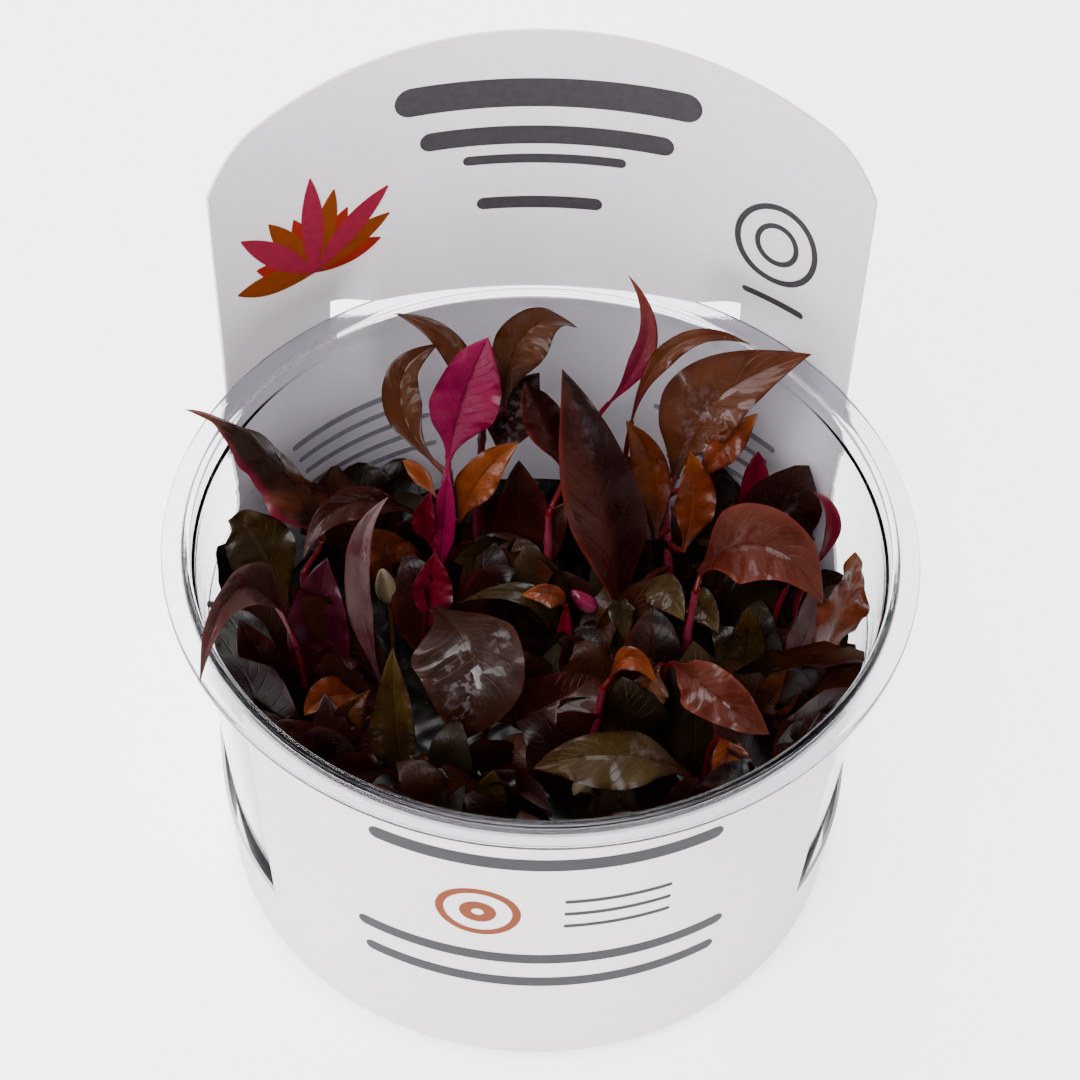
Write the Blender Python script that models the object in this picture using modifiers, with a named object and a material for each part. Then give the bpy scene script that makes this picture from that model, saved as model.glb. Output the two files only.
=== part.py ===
"""Alternanthera reineckii in its culture cup.

A clear tapered tub with a flange round its rim, a white card sleeve with a tall
header at the back, black gel in the bottom, and young plants growing out of it.
Metres, +Z up. The origin is the middle of the tub's base; the front is at -Y.
"""
from math import asin, cos, radians, sin, sqrt

import bmesh
import bpy
from mathutils import Matrix, Vector

MM = 0.001

# Tub
RIM_RADIUS = 50.0 * MM
RIM_HEIGHT = 59.0 * MM
FLANGE_THICK = 0.9 * MM
WALL_TOP_RADIUS = 46.7 * MM
WALL_BASE_RADIUS = 42.4 * MM
WALL_THICK = 0.75 * MM
FLOOR_THICK = 0.8 * MM
STEP_DEPTH = 0.35 * MM
SEAL_STEP_DROP = 2.8 * MM
STACK_STEP_DROP = 10.0 * MM
STACK_STEP_HEIGHT = 3.4 * MM
SEAL_STEP_HEIGHT = 0.4 * MM
FLANGE_CHAMFER = 0.3 * MM
FLOOR_CORNER = 1.6 * MM
FOOT_CORNER = 1.4 * MM
FOOT_INSET = 1.2 * MM
ROUND_SEGMENTS = 48

# Gel
GEL_TOP = 24.0 * MM
GEL_DIP = 0.5 * MM
GEL_CLIMB = 0.2 * MM
GEL_CLIMB_WIDTH = 3.0 * MM
GEL_SIDE_GAP = 0.5 * MM
GEL_SIDE_INSET = 2.2 * MM
GEL_FOOT_INSET = 3.9 * MM
GAP = 0.3 * MM

# Sleeve
CARD_THICK = 0.45 * MM
SLEEVE_BOTTOM = 1.3 * MM
FRONT_TOP = 56.9 * MM
WINDOW_SILL = 14.0 * MM
FRONT_EDGE_ANGLE = 126.0
WINDOW_RISE_ANGLE = 104.0
HEADER_EDGE_ANGLE = 57.5
SLOT_ANGLE = 35.0
SLOT_RELEASE_ANGLE = 27.0
HEADER_RISE = 43.9 * MM
HEADER_CROWN = 6.1 * MM
HEADER_CROWN_AT = 38.7 * MM
HEADER_CORNER = 4.0 * MM
HEADER_CORNER_FROM = 40.0 * MM
HEADER_HALF = 48.8 * MM
HEADER_BACK = 47.1 * MM
HEADER_LEAN = 0.072
HEADER_RADIUS = 55.1 * MM
HEADER_SPREAD = 0.28
PUSH_OUT_RADIUS = RIM_RADIUS + GAP + CARD_THICK / 2 + 0.1 * MM
PUSH_OUT_FADE = 12.0 * MM
SLOT_DROP = 1.7 * MM
BULGE_DROP = 16.0 * MM
BULGE_RISE = 12.0 * MM
BULGE_ANGLE = 75.0
SLOT_LIFT = 0.4 * MM
SLOT_END_LIFT = 2.2 * MM
SLOT_END_AT = 30.0 * MM
SLOT_LIFT_MOST = 4.0 * MM
EDGE_STEP = 1.2
LOWER_ROWS = (20.0 * MM, 38.0 * MM, 50.0 * MM)
HEADER_ROWS = (13.0 * MM, 25.0 * MM)
SLOT_ROW = 4
SIDE_SHARES = (0, 0.33, 0.64, 0.85, 0.94, 0.955, 0.97, 0.985, 1)
SLEEVE_ROWS = len(SIDE_SHARES) - 1
SLEEVE_TURN = 2.5

# Leaves and stems
LEAF_THICK = 0.5 * MM
LEAF_ROWS = 7
SHOOT_ROWS = 5
STEM_RADIUS = 0.75 * MM
FACING = Vector((0, -0.66, 0.75))

# Colour, roughness of each kind of surface
KINDS = {
    "magenta": ((0.56, 0.04, 0.20), 0.35),
    "crimson": ((0.42, 0.03, 0.08), 0.35),
    "wine": ((0.10, 0.015, 0.03), 0.28),
    "brown": ((0.17, 0.06, 0.035), 0.3),
    "salmon": ((0.30, 0.11, 0.07), 0.32),
    "olive": ((0.16, 0.12, 0.035), 0.32),
    "orange": ((0.40, 0.14, 0.04), 0.35),
    "mauve": ((0.34, 0.18, 0.17), 0.4),
    "cream": ((0.62, 0.50, 0.36), 0.5),
    "stem": ((0.45, 0.12, 0.18), 0.4),
}

# Each leaf: kind, base, middle and tip of its midrib in mm, width in mm, roll about the midrib and
# fold of its two halves, both in degrees. Roll 0 turns the upper face to the front and up.
LEAVES = {
    "leaf_far_left": ("brown", (-30, 11, 44), (-36.5, 12, 58), (-48, 15, 68), 10, -20, 30),
    "leaf_left_wall": ("olive", (-34.5, 3, 38), (-38.6, 7, 47.4), (-43, 8.6, 51.5), 7, 0, 20),
    "leaf_left_pale": ("mauve", (-39.5, 3, 37), (-41, 6.5, 42.5), (-41.5, 10, 47), 5, -40, 10),
    "leaf_left_arch": ("brown", (-32, -9, 45), (-37.5, -14, 63), (-42.5, -26, 61.5), 6.5, 0, 30),
    "leaf_red_arch": ("wine", (-17, 13.5, 47), (-26, 9, 54), (-32, 3, 51), 5, 0, 25),
    "leaf_pink_grey": ("mauve", (-21, -1, 26), (-24.5, 3, 45), (-21.5, 5, 60), 4.5, -20, 25),
    "leaf_orange_broad": ("orange", (-18, 12.5, 26), (-20.5, 14, 36), (-23.5, 15, 42), 8, 0, 15),
    "leaf_purple": ("wine", (-26, -5, 25), (-29.5, 1, 37), (-29, 6, 46), 9, 0, 20),
    "leaf_main_magenta": ("magenta", (-13, 16.6, 55.5), (-11, 19.5, 65), (-8, 21.5, 74), 11.5, 0, 18),
    "leaf_main_brown": ("brown", (-15, 17.5, 53.5), (-20, 25, 58), (-17, 31, 63), 6, 0, 25),
    "leaf_back_narrow": ("orange", (-11.5, 24.5, 56), (-12.5, 27, 66), (-21, 30, 69.5), 4, 0, 20),
    "leaf_back_curled": ("brown", (-5.5, 25.5, 56.5), (-3.5, 29, 66.5), (3, 33, 67), 8, 0, 25),
    "leaf_main_orange": ("orange", (-11.2, 13.5, 46), (-8.5, 16, 52.5), (-3.5, 18.5, 57), 6, 0, 25),
    "leaf_main_folded": ("crimson", (-15, 11.5, 43), (-16, 12.5, 48), (-15.2, 13, 52.5), 4, 0, 40),
    "leaf_main_crimson": ("crimson", (-15, 5.5, 33), (-15, 7.5, 38.5), (-14.5, 9.5, 44), 5, 0, 25),
    "leaf_back_wet": ("wine", (-6, 26, 45), (-4, 29, 52), (-1, 31, 58), 8, 0, 20),
    "leaf_back_salmon": ("salmon", (3, 21, 49), (-0.5, 23.5, 57), (-3, 24.2, 63), 6, 0, 20),
    "leaf_centre_big": ("wine", (11.5, 6, 36), (7.5, 13, 53), (2, 22, 68), 12, 0, 25),
    "leaf_centre_right": ("olive", (16, 13.5, 44), (15, 19, 52), (11, 20.5, 60), 6, 0, 25),
    "leaf_back_thin": ("crimson", (8.5, 29, 54), (13.5, 31.5, 65), (10.5, 35, 73.5), 3.5, 0, 20),
    "leaf_back_arched": ("brown", (12, 26.5, 53), (17, 29, 65.5), (27, 32, 65), 3, 0, 20),
    "leaf_right_big": ("salmon", (18.5, 21, 48.5), (23, 25, 59.5), (36, 29, 65.5), 12, 0, 18),
    "leaf_right_orange": ("orange", (19.8, 13, 42), (20.8, 16.5, 49), (20, 19, 56), 6, 0, 20),
    "leaf_right_crimson": ("crimson", (29, 22.5, 35), (30, 24, 43), (30, 26, 48), 3.5, 0, 25),
    "leaf_right_salmon": ("salmon", (22, 6, 45.5), (29, 4, 54), (38, -1, 51), 12, 0, 22),
    "leaf_star_front": ("olive", (14.5, 9.5, 39), (17.5, 6, 41.5), (20, 2, 40), 5.5, 0, 20),
    "leaf_star_right": ("olive", (20.5, 8.5, 35), (22.5, 6.5, 37.5), (25, 3, 36.5), 5, 0, 20),
    "leaf_olive_arm": ("olive", (3, 5, 25.5), (-0.5, 2.5, 43), (-11, 5.5, 38), 3.6, 0, 20),
    "leaf_front_wet": ("wine", (-14, 0, 43), (-8.5, -11, 45.5), (-10, -17, 36), 17, 0, 15),
    "leaf_front_upright": ("olive", (-17, -16, 25), (-18.5, -15.5, 37), (-19, -12.5, 50), 6.5, 0, 25),
    "leaf_left_orange": ("orange", (-24, -8.5, 34), (-28, -11, 37), (-31, -13.5, 36), 5, 0, 20),
    "leaf_front_amber": ("orange", (-6.2, -24.5, 25), (-5.7, -25.5, 34), (-5.2, -26, 42), 5, 0, 15),
    "leaf_front_olive": ("olive", (20, -23.5, 39.5), (10.5, -24.5, 44), (0, -24, 40), 8.5, 0, 20),
    "leaf_orange_curl": ("orange", (9.8, -10.5, 42), (12.5, -9.5, 46), (16, -11.5, 43), 3.5, 0, 20),
    "leaf_brown_hang": ("brown", (16.5, -5.5, 39), (15, -9, 37.5), (14, -11, 33), 5.5, 0, 20),
    "leaf_red_front": ("salmon", (18.5, -8, 43), (23.5, -15.5, 46), (31, -18.5, 42), 8, 0, 25),
    "leaf_amber_right": ("orange", (27.5, -16, 36), (26, -19, 37.5), (24.5, -21.5, 34), 4.5, 0, 20),
    "leaf_right_wall": ("orange", (36, -4, 28), (40.7, 0, 44), (42.4, 5.3, 52), 6.5, 30, 15),
    "leaf_right_grey": ("mauve", (34, 1, 29), (37.5, 3, 38.5), (37.5, 5, 46), 5, 0, 20),
    "leaf_right_brown": ("brown", (30, -6.5, 30), (33, -7.5, 37.5), (35.5, -7.5, 43), 6, 0, 20),
    "leaf_olive_glint": ("olive", (28, -0.5, 28), (29, 0, 37), (28.5, 1.5, 44), 5, 0, 20),
    "leaf_wine_low": ("wine", (-5, -8, 30), (2.5, -9.5, 35.5), (9.5, -4, 37.5), 10, 0, 15),
    "leaf_dark_left": ("wine", (-31.5, -4, 28), (-36.5, -6.5, 38.5), (-40, -5.5, 46), 7, 0, 20),
}

# Each bud: kind, foot and tip in mm, width in mm
BUDS = {
    "bud_cream": ("cream", (-20.8, 7.5, 35.5), (-21.8, 8.2, 41.5), 3.2),
    "bud_pink": ("magenta", (8, 7.5, 35), (4.5, 8.5, 38), 2.6),
    "bud_light_brown": ("mauve", (6.5, -20, 29.5), (7.5, -22, 35), 3.2),
}

# Each stem: the points of its middle line in mm, from just above the gel upward
STEMS = {
    "stem_main": ((-14, 12, 24.4), (-13.6, 13, 36), (-13, 15.6, 54)),
    "stem_left": ((-31, 6.5, 24.4), (-32, 5.7, 33), (-32.4, 6.3, 42)),
    "stem_back": ((-9, 21, 24.4), (-9, 22, 36), (-8.6, 24, 54)),
    "stem_mauve": ((1.5, 10, 24.4), (1.2, 10.5, 36), (1, 13.5, 48)),
    "stem_right": ((20, 12, 24.4), (18.2, 15, 36), (17.4, 18.5, 47)),
    "stem_right_front": ((21, 2.5, 24.4), (20.5, 2, 32), (21.4, 4.2, 43.5)),
    "stem_front": ((8, -14, 24.4), (8.2, -12.8, 33), (9, -11, 41)),
}

# Each low shoot: where its foot stands in mm, then for each blade the direction it leans to in
# degrees from +X, its reach and height in mm, and its width in mm
SHOOTS = {
    "shoot_back": ((-3, 18, 24.6), ((95, 5, 24, 8), (200, 9, 15, 7), (275, 6, 11, 7))),
    "shoot_right": ((32, 14, 24.6), ((75, 9, 17, 7), (0, 6, 20, 6), (130, 8, 14, 7), (290, 8, 10, 6))),
    "shoot_left": ((-26, -18, 24.6), ((165, 9, 13, 7), (215, 10, 8, 7), (290, 8, 9, 6))),
    "shoot_front": ((-9, -22, 24.6), ((110, 7, 9, 6), (215, 8, 8, 6), (25, 9, 7, 6))),
}


def clear_scene():
    for old in list(bpy.data.objects):
        bpy.data.objects.remove(old, do_unlink=True)


def make_collection(name):
    group = bpy.data.collections.new(name)
    bpy.context.scene.collection.children.link(group)
    return group


def make_material(name, colour, roughness, alpha=1.0):
    material = bpy.data.materials.new(name)
    material.use_nodes = True
    shader = material.node_tree.nodes["Principled BSDF"]
    shader.inputs["Base Color"].default_value = (*colour, 1.0)
    shader.inputs["Roughness"].default_value = roughness
    shader.inputs["Metallic"].default_value = 0.0
    shader.inputs["Alpha"].default_value = alpha
    material.diffuse_color = (*colour, alpha)
    return material


def smooth(value):
    """An S-shaped ramp from 0 to 1."""
    value = min(max(value, 0.0), 1.0)
    return value * value * (3 - 2 * value)


def add_object(group, name, mesh, material, smooth_angle=40):
    mesh.materials.append(material)
    mesh.shade_smooth()
    mesh.set_sharp_from_angle(angle=radians(smooth_angle))
    thing = bpy.data.objects.new(name, mesh)
    group.objects.link(thing)
    return thing


def turned(group, name, profile, material, segments=ROUND_SEGMENTS):
    """A closed profile of (radius, height) points, turned once round Z by a Screw modifier."""
    mesh = bpy.data.meshes.new(name)
    shape = bmesh.new()
    points = [shape.verts.new((radius, 0, height)) for radius, height in profile]
    for first, second in zip(points, points[1:]):
        shape.edges.new((first, second))
    shape.to_mesh(mesh)
    shape.free()
    thing = add_object(group, name, mesh, material)
    screw = thing.modifiers.new("turn", "SCREW")
    screw.steps = screw.render_steps = segments
    screw.use_merge_vertices = True
    screw.merge_threshold = 0.00001
    return thing


def wall_radius(height):
    """Outside radius of the tub's straight taper."""
    rise = min(max(height / RIM_HEIGHT, 0), 1)
    return WALL_BASE_RADIUS + (WALL_TOP_RADIUS - WALL_BASE_RADIUS) * rise


def cup_side(offset, depth):
    """The tapered side from the seal step down to the foot, moved in by offset."""
    seal = RIM_HEIGHT - SEAL_STEP_DROP
    stack = RIM_HEIGHT - STACK_STEP_DROP
    low = stack - STACK_STEP_HEIGHT
    return [
        (wall_radius(seal) - offset, seal),
        (wall_radius(stack) - offset - depth, stack),
        (wall_radius(low) - offset - 2 * depth, low),
    ]


def build_cup(group):
    """The tub: top of the flange, down the outside, under the foot, and up the inside again."""
    inner_rim = WALL_TOP_RADIUS - WALL_THICK + STEP_DEPTH
    floor_radius = WALL_BASE_RADIUS - FLOOR_CORNER
    outside = cup_side(0, STEP_DEPTH / 2)
    inside = cup_side(WALL_THICK, STEP_DEPTH / 2)
    profile = [
        (0, FLOOR_THICK),
        (floor_radius - FLOOR_CORNER, FLOOR_THICK),
        (floor_radius, FLOOR_THICK + FOOT_CORNER),
        *reversed(inside),
        (inner_rim, RIM_HEIGHT - SEAL_STEP_DROP + SEAL_STEP_HEIGHT),
        (inner_rim, RIM_HEIGHT),
        (RIM_RADIUS - FLANGE_CHAMFER, RIM_HEIGHT),
        (RIM_RADIUS, RIM_HEIGHT - FLANGE_CHAMFER),
        (RIM_RADIUS, RIM_HEIGHT - FLANGE_THICK),
        (WALL_TOP_RADIUS, RIM_HEIGHT - FLANGE_THICK),
        *outside,
        (WALL_BASE_RADIUS - STEP_DEPTH, FOOT_CORNER),
        (WALL_BASE_RADIUS - FOOT_INSET, 0),
        (0, 0),
    ]
    material = make_material("clear_plastic", (0.86, 0.88, 0.9), 0.08, 0.35)
    return turned(group, "cup", profile, material)


def build_gel(group):
    """The gel fills the tub's bottom, its rim drawn up a little against the wall."""
    floor = FLOOR_THICK + GAP
    top_radius = wall_radius(GEL_TOP) - WALL_THICK - STEP_DEPTH - GEL_SIDE_GAP
    profile = [
        (0, GEL_TOP - GEL_DIP),
        (top_radius - GEL_CLIMB_WIDTH, GEL_TOP - GEL_DIP + GEL_CLIMB / 2),
        (top_radius, GEL_TOP + GEL_CLIMB),
        (WALL_BASE_RADIUS - GEL_SIDE_INSET, floor + GEL_SIDE_INSET),
        (WALL_BASE_RADIUS - GEL_FOOT_INSET, floor),
        (0, floor),
    ]
    material = make_material("black_gel", (0.012, 0.009, 0.010), 0.12)
    return turned(group, "gel_medium", profile, material)


def header_radius(angle):
    """Distance from the axis to the header sheet at rim height; the sheet is flatter than the rim."""
    centre = HEADER_BACK - HEADER_RADIUS
    return centre * cos(angle) + sqrt(HEADER_RADIUS**2 - (centre * sin(angle)) ** 2)


def header_arc(angle):
    """Length along the bent sheet from its middle to the given angle, at rim height."""
    return HEADER_RADIUS * asin(header_radius(angle) * sin(angle) / HEADER_RADIUS)


def header_top(arc):
    """Height of the header's edge above the rim: a flat crown with rounded corners."""
    crown = HEADER_CROWN * (arc / HEADER_CROWN_AT) ** 2
    corner = max(abs(arc) - HEADER_CORNER_FROM, 0) / (HEADER_HALF - HEADER_CORNER_FROM)
    return HEADER_RISE - crown - HEADER_CORNER * corner**2.3


def push_out(angle):
    """How far the card is held outside the flange at this angle, beside the slot."""
    ramp = (abs(angle) - radians(SLOT_RELEASE_ANGLE)) / radians(SLOT_ANGLE - 0.1 - SLOT_RELEASE_ANGLE)
    return (PUSH_OUT_RADIUS - header_radius(angle)) * smooth(ramp)


def sleeve_point(angle, height):
    """A point of the sleeve's middle surface; angle 0 is the back, measured towards +X."""
    turn = min(abs(angle), radians(HEADER_EDGE_ANGLE))
    if height <= RIM_HEIGHT - SLOT_DROP or abs(angle) > radians(HEADER_EDGE_ANGLE + 0.01):
        hug = wall_radius(height) + GAP + CARD_THICK / 2
        lift = smooth((height - (RIM_HEIGHT - BULGE_DROP)) / BULGE_RISE)
        side = smooth((radians(BULGE_ANGLE) - abs(angle)) / radians(BULGE_ANGLE - HEADER_EDGE_ANGLE))
        rim = header_radius(turn) + push_out(turn)
        radius = hug + max(rim - hug, 0) * lift * side
        return Vector((radius * sin(angle), radius * cos(angle), height))
    rise = max(height - RIM_HEIGHT, 0)
    arc = header_arc(angle)
    bend = HEADER_RADIUS + HEADER_SPREAD * rise
    x = bend * sin(arc / bend)
    y = HEADER_BACK + HEADER_LEAN * rise - bend * (1 - cos(arc / bend))
    out = push_out(angle) * (1 - smooth(rise / PUSH_OUT_FADE))
    return Vector((x + out * sin(angle), y + out * cos(angle), height))


def evenly(first, last, count):
    """Evenly spaced values from first to last, both included."""
    return [first + (last - first) * step / (count - 1) for step in range(count)]


def sleeve_columns():
    """Angles of the sleeve's columns in degrees, from the front seam round the back and home."""
    slot = evenly(5.0, SLOT_ANGLE, 7)
    side = evenly(SLOT_ANGLE, HEADER_EDGE_ANGLE, 6)[1:]
    window = evenly(HEADER_EDGE_ANGLE + EDGE_STEP, FRONT_EDGE_ANGLE - EDGE_STEP / 4, 10)
    front = evenly(FRONT_EDGE_ANGLE + EDGE_STEP * 3 / 4, 180.0, 11)
    half = slot + side + window + front
    return [-angle for angle in reversed(half)] + [0.0] + half


def sleeve_top(degrees):
    """Height of the sleeve's upper edge at an angle from the back."""
    turn = abs(degrees)
    if turn <= HEADER_EDGE_ANGLE:
        return RIM_HEIGHT + header_top(header_arc(radians(turn)))
    if turn > FRONT_EDGE_ANGLE:
        return FRONT_TOP
    climb = max(WINDOW_RISE_ANGLE - turn, 0) / (WINDOW_RISE_ANGLE - HEADER_EDGE_ANGLE)
    return WINDOW_SILL + (RIM_HEIGHT - SLOT_DROP - WINDOW_SILL) * climb**2


def sleeve_heights(degrees):
    """Heights of one column's points, from the bottom edge to the top edge."""
    top = sleeve_top(degrees)
    if abs(degrees) > HEADER_EDGE_ANGLE:
        return [SLEEVE_BOTTOM + (top - SLEEVE_BOTTOM) * share for share in SIDE_SHARES]
    arc = header_arc(radians(degrees))
    slot_lift = SLOT_LIFT + SLOT_END_LIFT * (arc / SLOT_END_AT) ** 2
    return [
        SLEEVE_BOTTOM,
        *LOWER_ROWS,
        RIM_HEIGHT - SLOT_DROP,
        RIM_HEIGHT + min(slot_lift, SLOT_LIFT_MOST),
        *[RIM_HEIGHT + row for row in HEADER_ROWS],
        top,
    ]


def build_sleeve(group):
    """A grid wrapped once round the tub, the slot's faces taken out, and thickened to card."""
    columns = sleeve_columns()
    heights = [sleeve_heights(degrees) for degrees in columns]
    shape = bmesh.new()
    count = len(columns) - 1
    bmesh.ops.create_grid(shape, x_segments=count, y_segments=SLEEVE_ROWS, size=1)
    cells = {}
    for vert in shape.verts:
        column = round((vert.co.x + 1) / 2 * count)
        row = round((vert.co.y + 1) / 2 * SLEEVE_ROWS)
        cells[vert] = (column, row)
    slot_faces = []
    for face in shape.faces:
        places = [cells[vert] for vert in face.verts]
        turns = [abs(columns[column]) for column, row in places]
        rows = [row for column, row in places]
        if max(turns) <= SLOT_ANGLE and min(rows) == SLOT_ROW:
            slot_faces.append(face)
    for vert, (column, row) in cells.items():
        vert.co = sleeve_point(radians(columns[column]), heights[column][row])
    bmesh.ops.delete(shape, geom=slot_faces, context="FACES")
    bmesh.ops.remove_doubles(shape, verts=shape.verts, dist=0.00001)
    bmesh.ops.recalc_face_normals(shape, faces=shape.faces)
    mesh = bpy.data.meshes.new("label_sleeve")
    shape.to_mesh(mesh)
    shape.free()
    material = make_material("white_card", (0.82, 0.82, 0.85), 0.4)
    thing = add_object(group, "label_sleeve", mesh, material)
    card = thing.modifiers.new("card", "SOLIDIFY")
    card.thickness = CARD_THICK
    card.offset = 0
    thing.rotation_euler.z = radians(SLEEVE_TURN)
    return thing


def leaf_frame(base, middle, tip, share, roll):
    """Point, across and up directions at a share of the midrib, a curve through three points."""
    bend = middle * 2 - (base + tip) / 2
    point = base * (1 - share) ** 2 + bend * 2 * share * (1 - share) + tip * share**2
    along = ((bend - base) * (1 - share) + (tip - bend) * share).normalized()
    chord = (tip - base).normalized()
    across = Matrix.Rotation(radians(roll), 3, chord) @ chord.cross(FACING)
    across = (across - along * across.dot(along)).normalized()
    return point, across, across.cross(along).normalized()


def leaf_width(share):
    """Half width of a lance-shaped blade against its share of length, 1 at its widest."""
    stalk = 0.13 + 0.87 * smooth(share / 0.42)
    taper = 1 - smooth((share - 0.42) / 0.6) ** 1.15
    return max(stalk * taper, 0.09)


def leaf_mesh(name, base, middle, tip, width, roll, fold, rows=LEAF_ROWS):
    """A grid along the midrib, widened to the blade's outline and folded along the midrib."""
    shape = bmesh.new()
    bmesh.ops.create_grid(shape, x_segments=rows, y_segments=2, size=1)
    lift = sin(radians(fold))
    spread = cos(radians(fold))
    for vert in shape.verts:
        share = (vert.co.x + 1) / 2
        side = vert.co.y
        point, across, up = leaf_frame(base, middle, tip, share, roll)
        half = width / 2 * leaf_width(share)
        vert.co = point + across * (side * half * spread) + up * (abs(side) * half * lift)
    bmesh.ops.recalc_face_normals(shape, faces=shape.faces)
    mesh = bpy.data.meshes.new(name)
    shape.to_mesh(mesh)
    shape.free()
    return mesh


def build_leaf(group, name, kind, base, middle, tip, width, roll, fold):
    places = [Vector(place) * MM for place in (base, middle, tip)]
    colour, roughness = KINDS[kind]
    root = places[0]
    mesh = leaf_mesh(name, Vector(), places[1] - root, places[2] - root, width * MM, roll, fold)
    thing = add_object(group, name, mesh, make_material(name, colour, roughness), 60)
    thing.location = root
    blade = thing.modifiers.new("blade", "SOLIDIFY")
    blade.thickness = LEAF_THICK
    blade.offset = 0
    return thing


def shoot_blade(name, reach, width):
    """One blade of a shoot, standing on its foot and leaning the way it points."""
    heading, spread, height = reach
    tip = Vector((spread * cos(radians(heading)), spread * sin(radians(heading)), height)) * MM
    middle = Vector((tip.x * 0.4, tip.y * 0.4, tip.z * 0.62))
    thing = bpy.data.objects.new(name, leaf_mesh(name, Vector(), middle, tip, width * MM, 0, 15, SHOOT_ROWS))
    blade = thing.modifiers.new("blade", "SOLIDIFY")
    blade.thickness = LEAF_THICK * 1.3
    blade.offset = 0
    return thing


def build_shoot(group, helpers, name, foot, blades):
    """A tuft of dark blades that part from one foot, joined in one solid."""
    colour, roughness = KINDS["wine"]
    material = make_material(name, colour, roughness)
    place = Vector(foot) * MM
    others = bpy.data.collections.new(name + "_blades")
    helpers.children.link(others)
    for number, (heading, spread, height, width) in enumerate(blades):
        label = name if number == 0 else name + "_blade%d" % number
        thing = shoot_blade(label, (heading, spread, height), width)
        thing.location = place
        thing.data.materials.append(material)
        if number == 0:
            shoot = thing
            group.objects.link(shoot)
        else:
            others.objects.link(thing)
            thing.hide_render = True
            thing.display_type = "WIRE"
    union = shoot.modifiers.new("join", "BOOLEAN")
    union.operation = "UNION"
    union.operand_type = "COLLECTION"
    union.collection = others
    union.solver = "EXACT"
    return shoot


def build_bud(group, name, kind, foot, tip, width):
    """A closed shoot: a sphere drawn out to a spindle between its foot and its tip."""
    low = Vector(foot) * MM
    axis = Vector(tip) * MM - low
    shape = bmesh.new()
    bmesh.ops.create_uvsphere(shape, u_segments=8, v_segments=6, radius=1)
    for vert in shape.verts:
        swell = 1 - 0.35 * vert.co.z
        vert.co.x *= width * MM / 2 * swell
        vert.co.y *= width * MM / 2 * swell
        vert.co.z *= axis.length / 2
    mesh = bpy.data.meshes.new(name)
    shape.to_mesh(mesh)
    shape.free()
    colour, roughness = KINDS[kind]
    thing = add_object(group, name, mesh, make_material(name, colour, roughness), 60)
    thing.location = low + axis / 2
    thing.rotation_mode = "QUATERNION"
    thing.rotation_quaternion = Vector((0, 0, 1)).rotation_difference(axis)
    return thing


def build_stem(group, name, places):
    """A round stem along a line of points, thinning to its top, with closed ends."""
    line = bpy.data.curves.new(name, "CURVE")
    line.dimensions = "3D"
    line.bevel_depth = STEM_RADIUS
    line.bevel_resolution = 1
    line.use_fill_caps = True
    spline = line.splines.new("POLY")
    start, middle, end = [Vector(place) * MM for place in places]
    bend = middle * 2 - (start + end) / 2
    steps = 5
    spline.points.add(steps)
    for step in range(steps + 1):
        share = step / steps
        point = start * (1 - share) ** 2 + bend * 2 * share * (1 - share) + end * share**2
        spline.points[step].co = (*point, 1)
        spline.points[step].radius = 1 - 0.3 * share
    colour, roughness = KINDS["stem"]
    line.materials.append(make_material(name, colour, roughness))
    thing = bpy.data.objects.new(name, line)
    group.objects.link(thing)
    return thing


def main():
    clear_scene()
    group = make_collection("alternanthera_reineckii")
    build_cup(group)
    build_sleeve(group)
    build_gel(group)
    for name, places in STEMS.items():
        build_stem(group, name, places)
    for name, values in BUDS.items():
        build_bud(group, name, *values)
    for name, values in LEAVES.items():
        build_leaf(group, name, *values)
    helpers = make_collection("cutters")
    for name, (foot, blades) in SHOOTS.items():
        build_shoot(group, helpers, name, foot, blades)


main()
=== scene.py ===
import bpy
import numpy as np
from mathutils import Matrix


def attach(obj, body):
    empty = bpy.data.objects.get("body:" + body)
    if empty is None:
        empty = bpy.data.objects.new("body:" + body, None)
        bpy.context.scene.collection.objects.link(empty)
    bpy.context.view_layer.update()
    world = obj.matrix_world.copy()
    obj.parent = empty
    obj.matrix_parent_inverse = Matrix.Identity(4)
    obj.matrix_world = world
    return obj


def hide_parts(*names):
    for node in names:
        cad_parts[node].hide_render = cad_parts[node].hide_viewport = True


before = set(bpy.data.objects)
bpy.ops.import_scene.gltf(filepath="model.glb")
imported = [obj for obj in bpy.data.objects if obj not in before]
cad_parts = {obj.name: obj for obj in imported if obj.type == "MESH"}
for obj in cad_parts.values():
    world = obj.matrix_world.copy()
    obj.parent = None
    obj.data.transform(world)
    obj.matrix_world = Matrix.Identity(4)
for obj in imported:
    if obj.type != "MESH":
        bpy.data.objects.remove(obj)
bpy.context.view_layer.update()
mm = 0.001
print("frame loaded:", len(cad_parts), "nodes")


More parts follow.
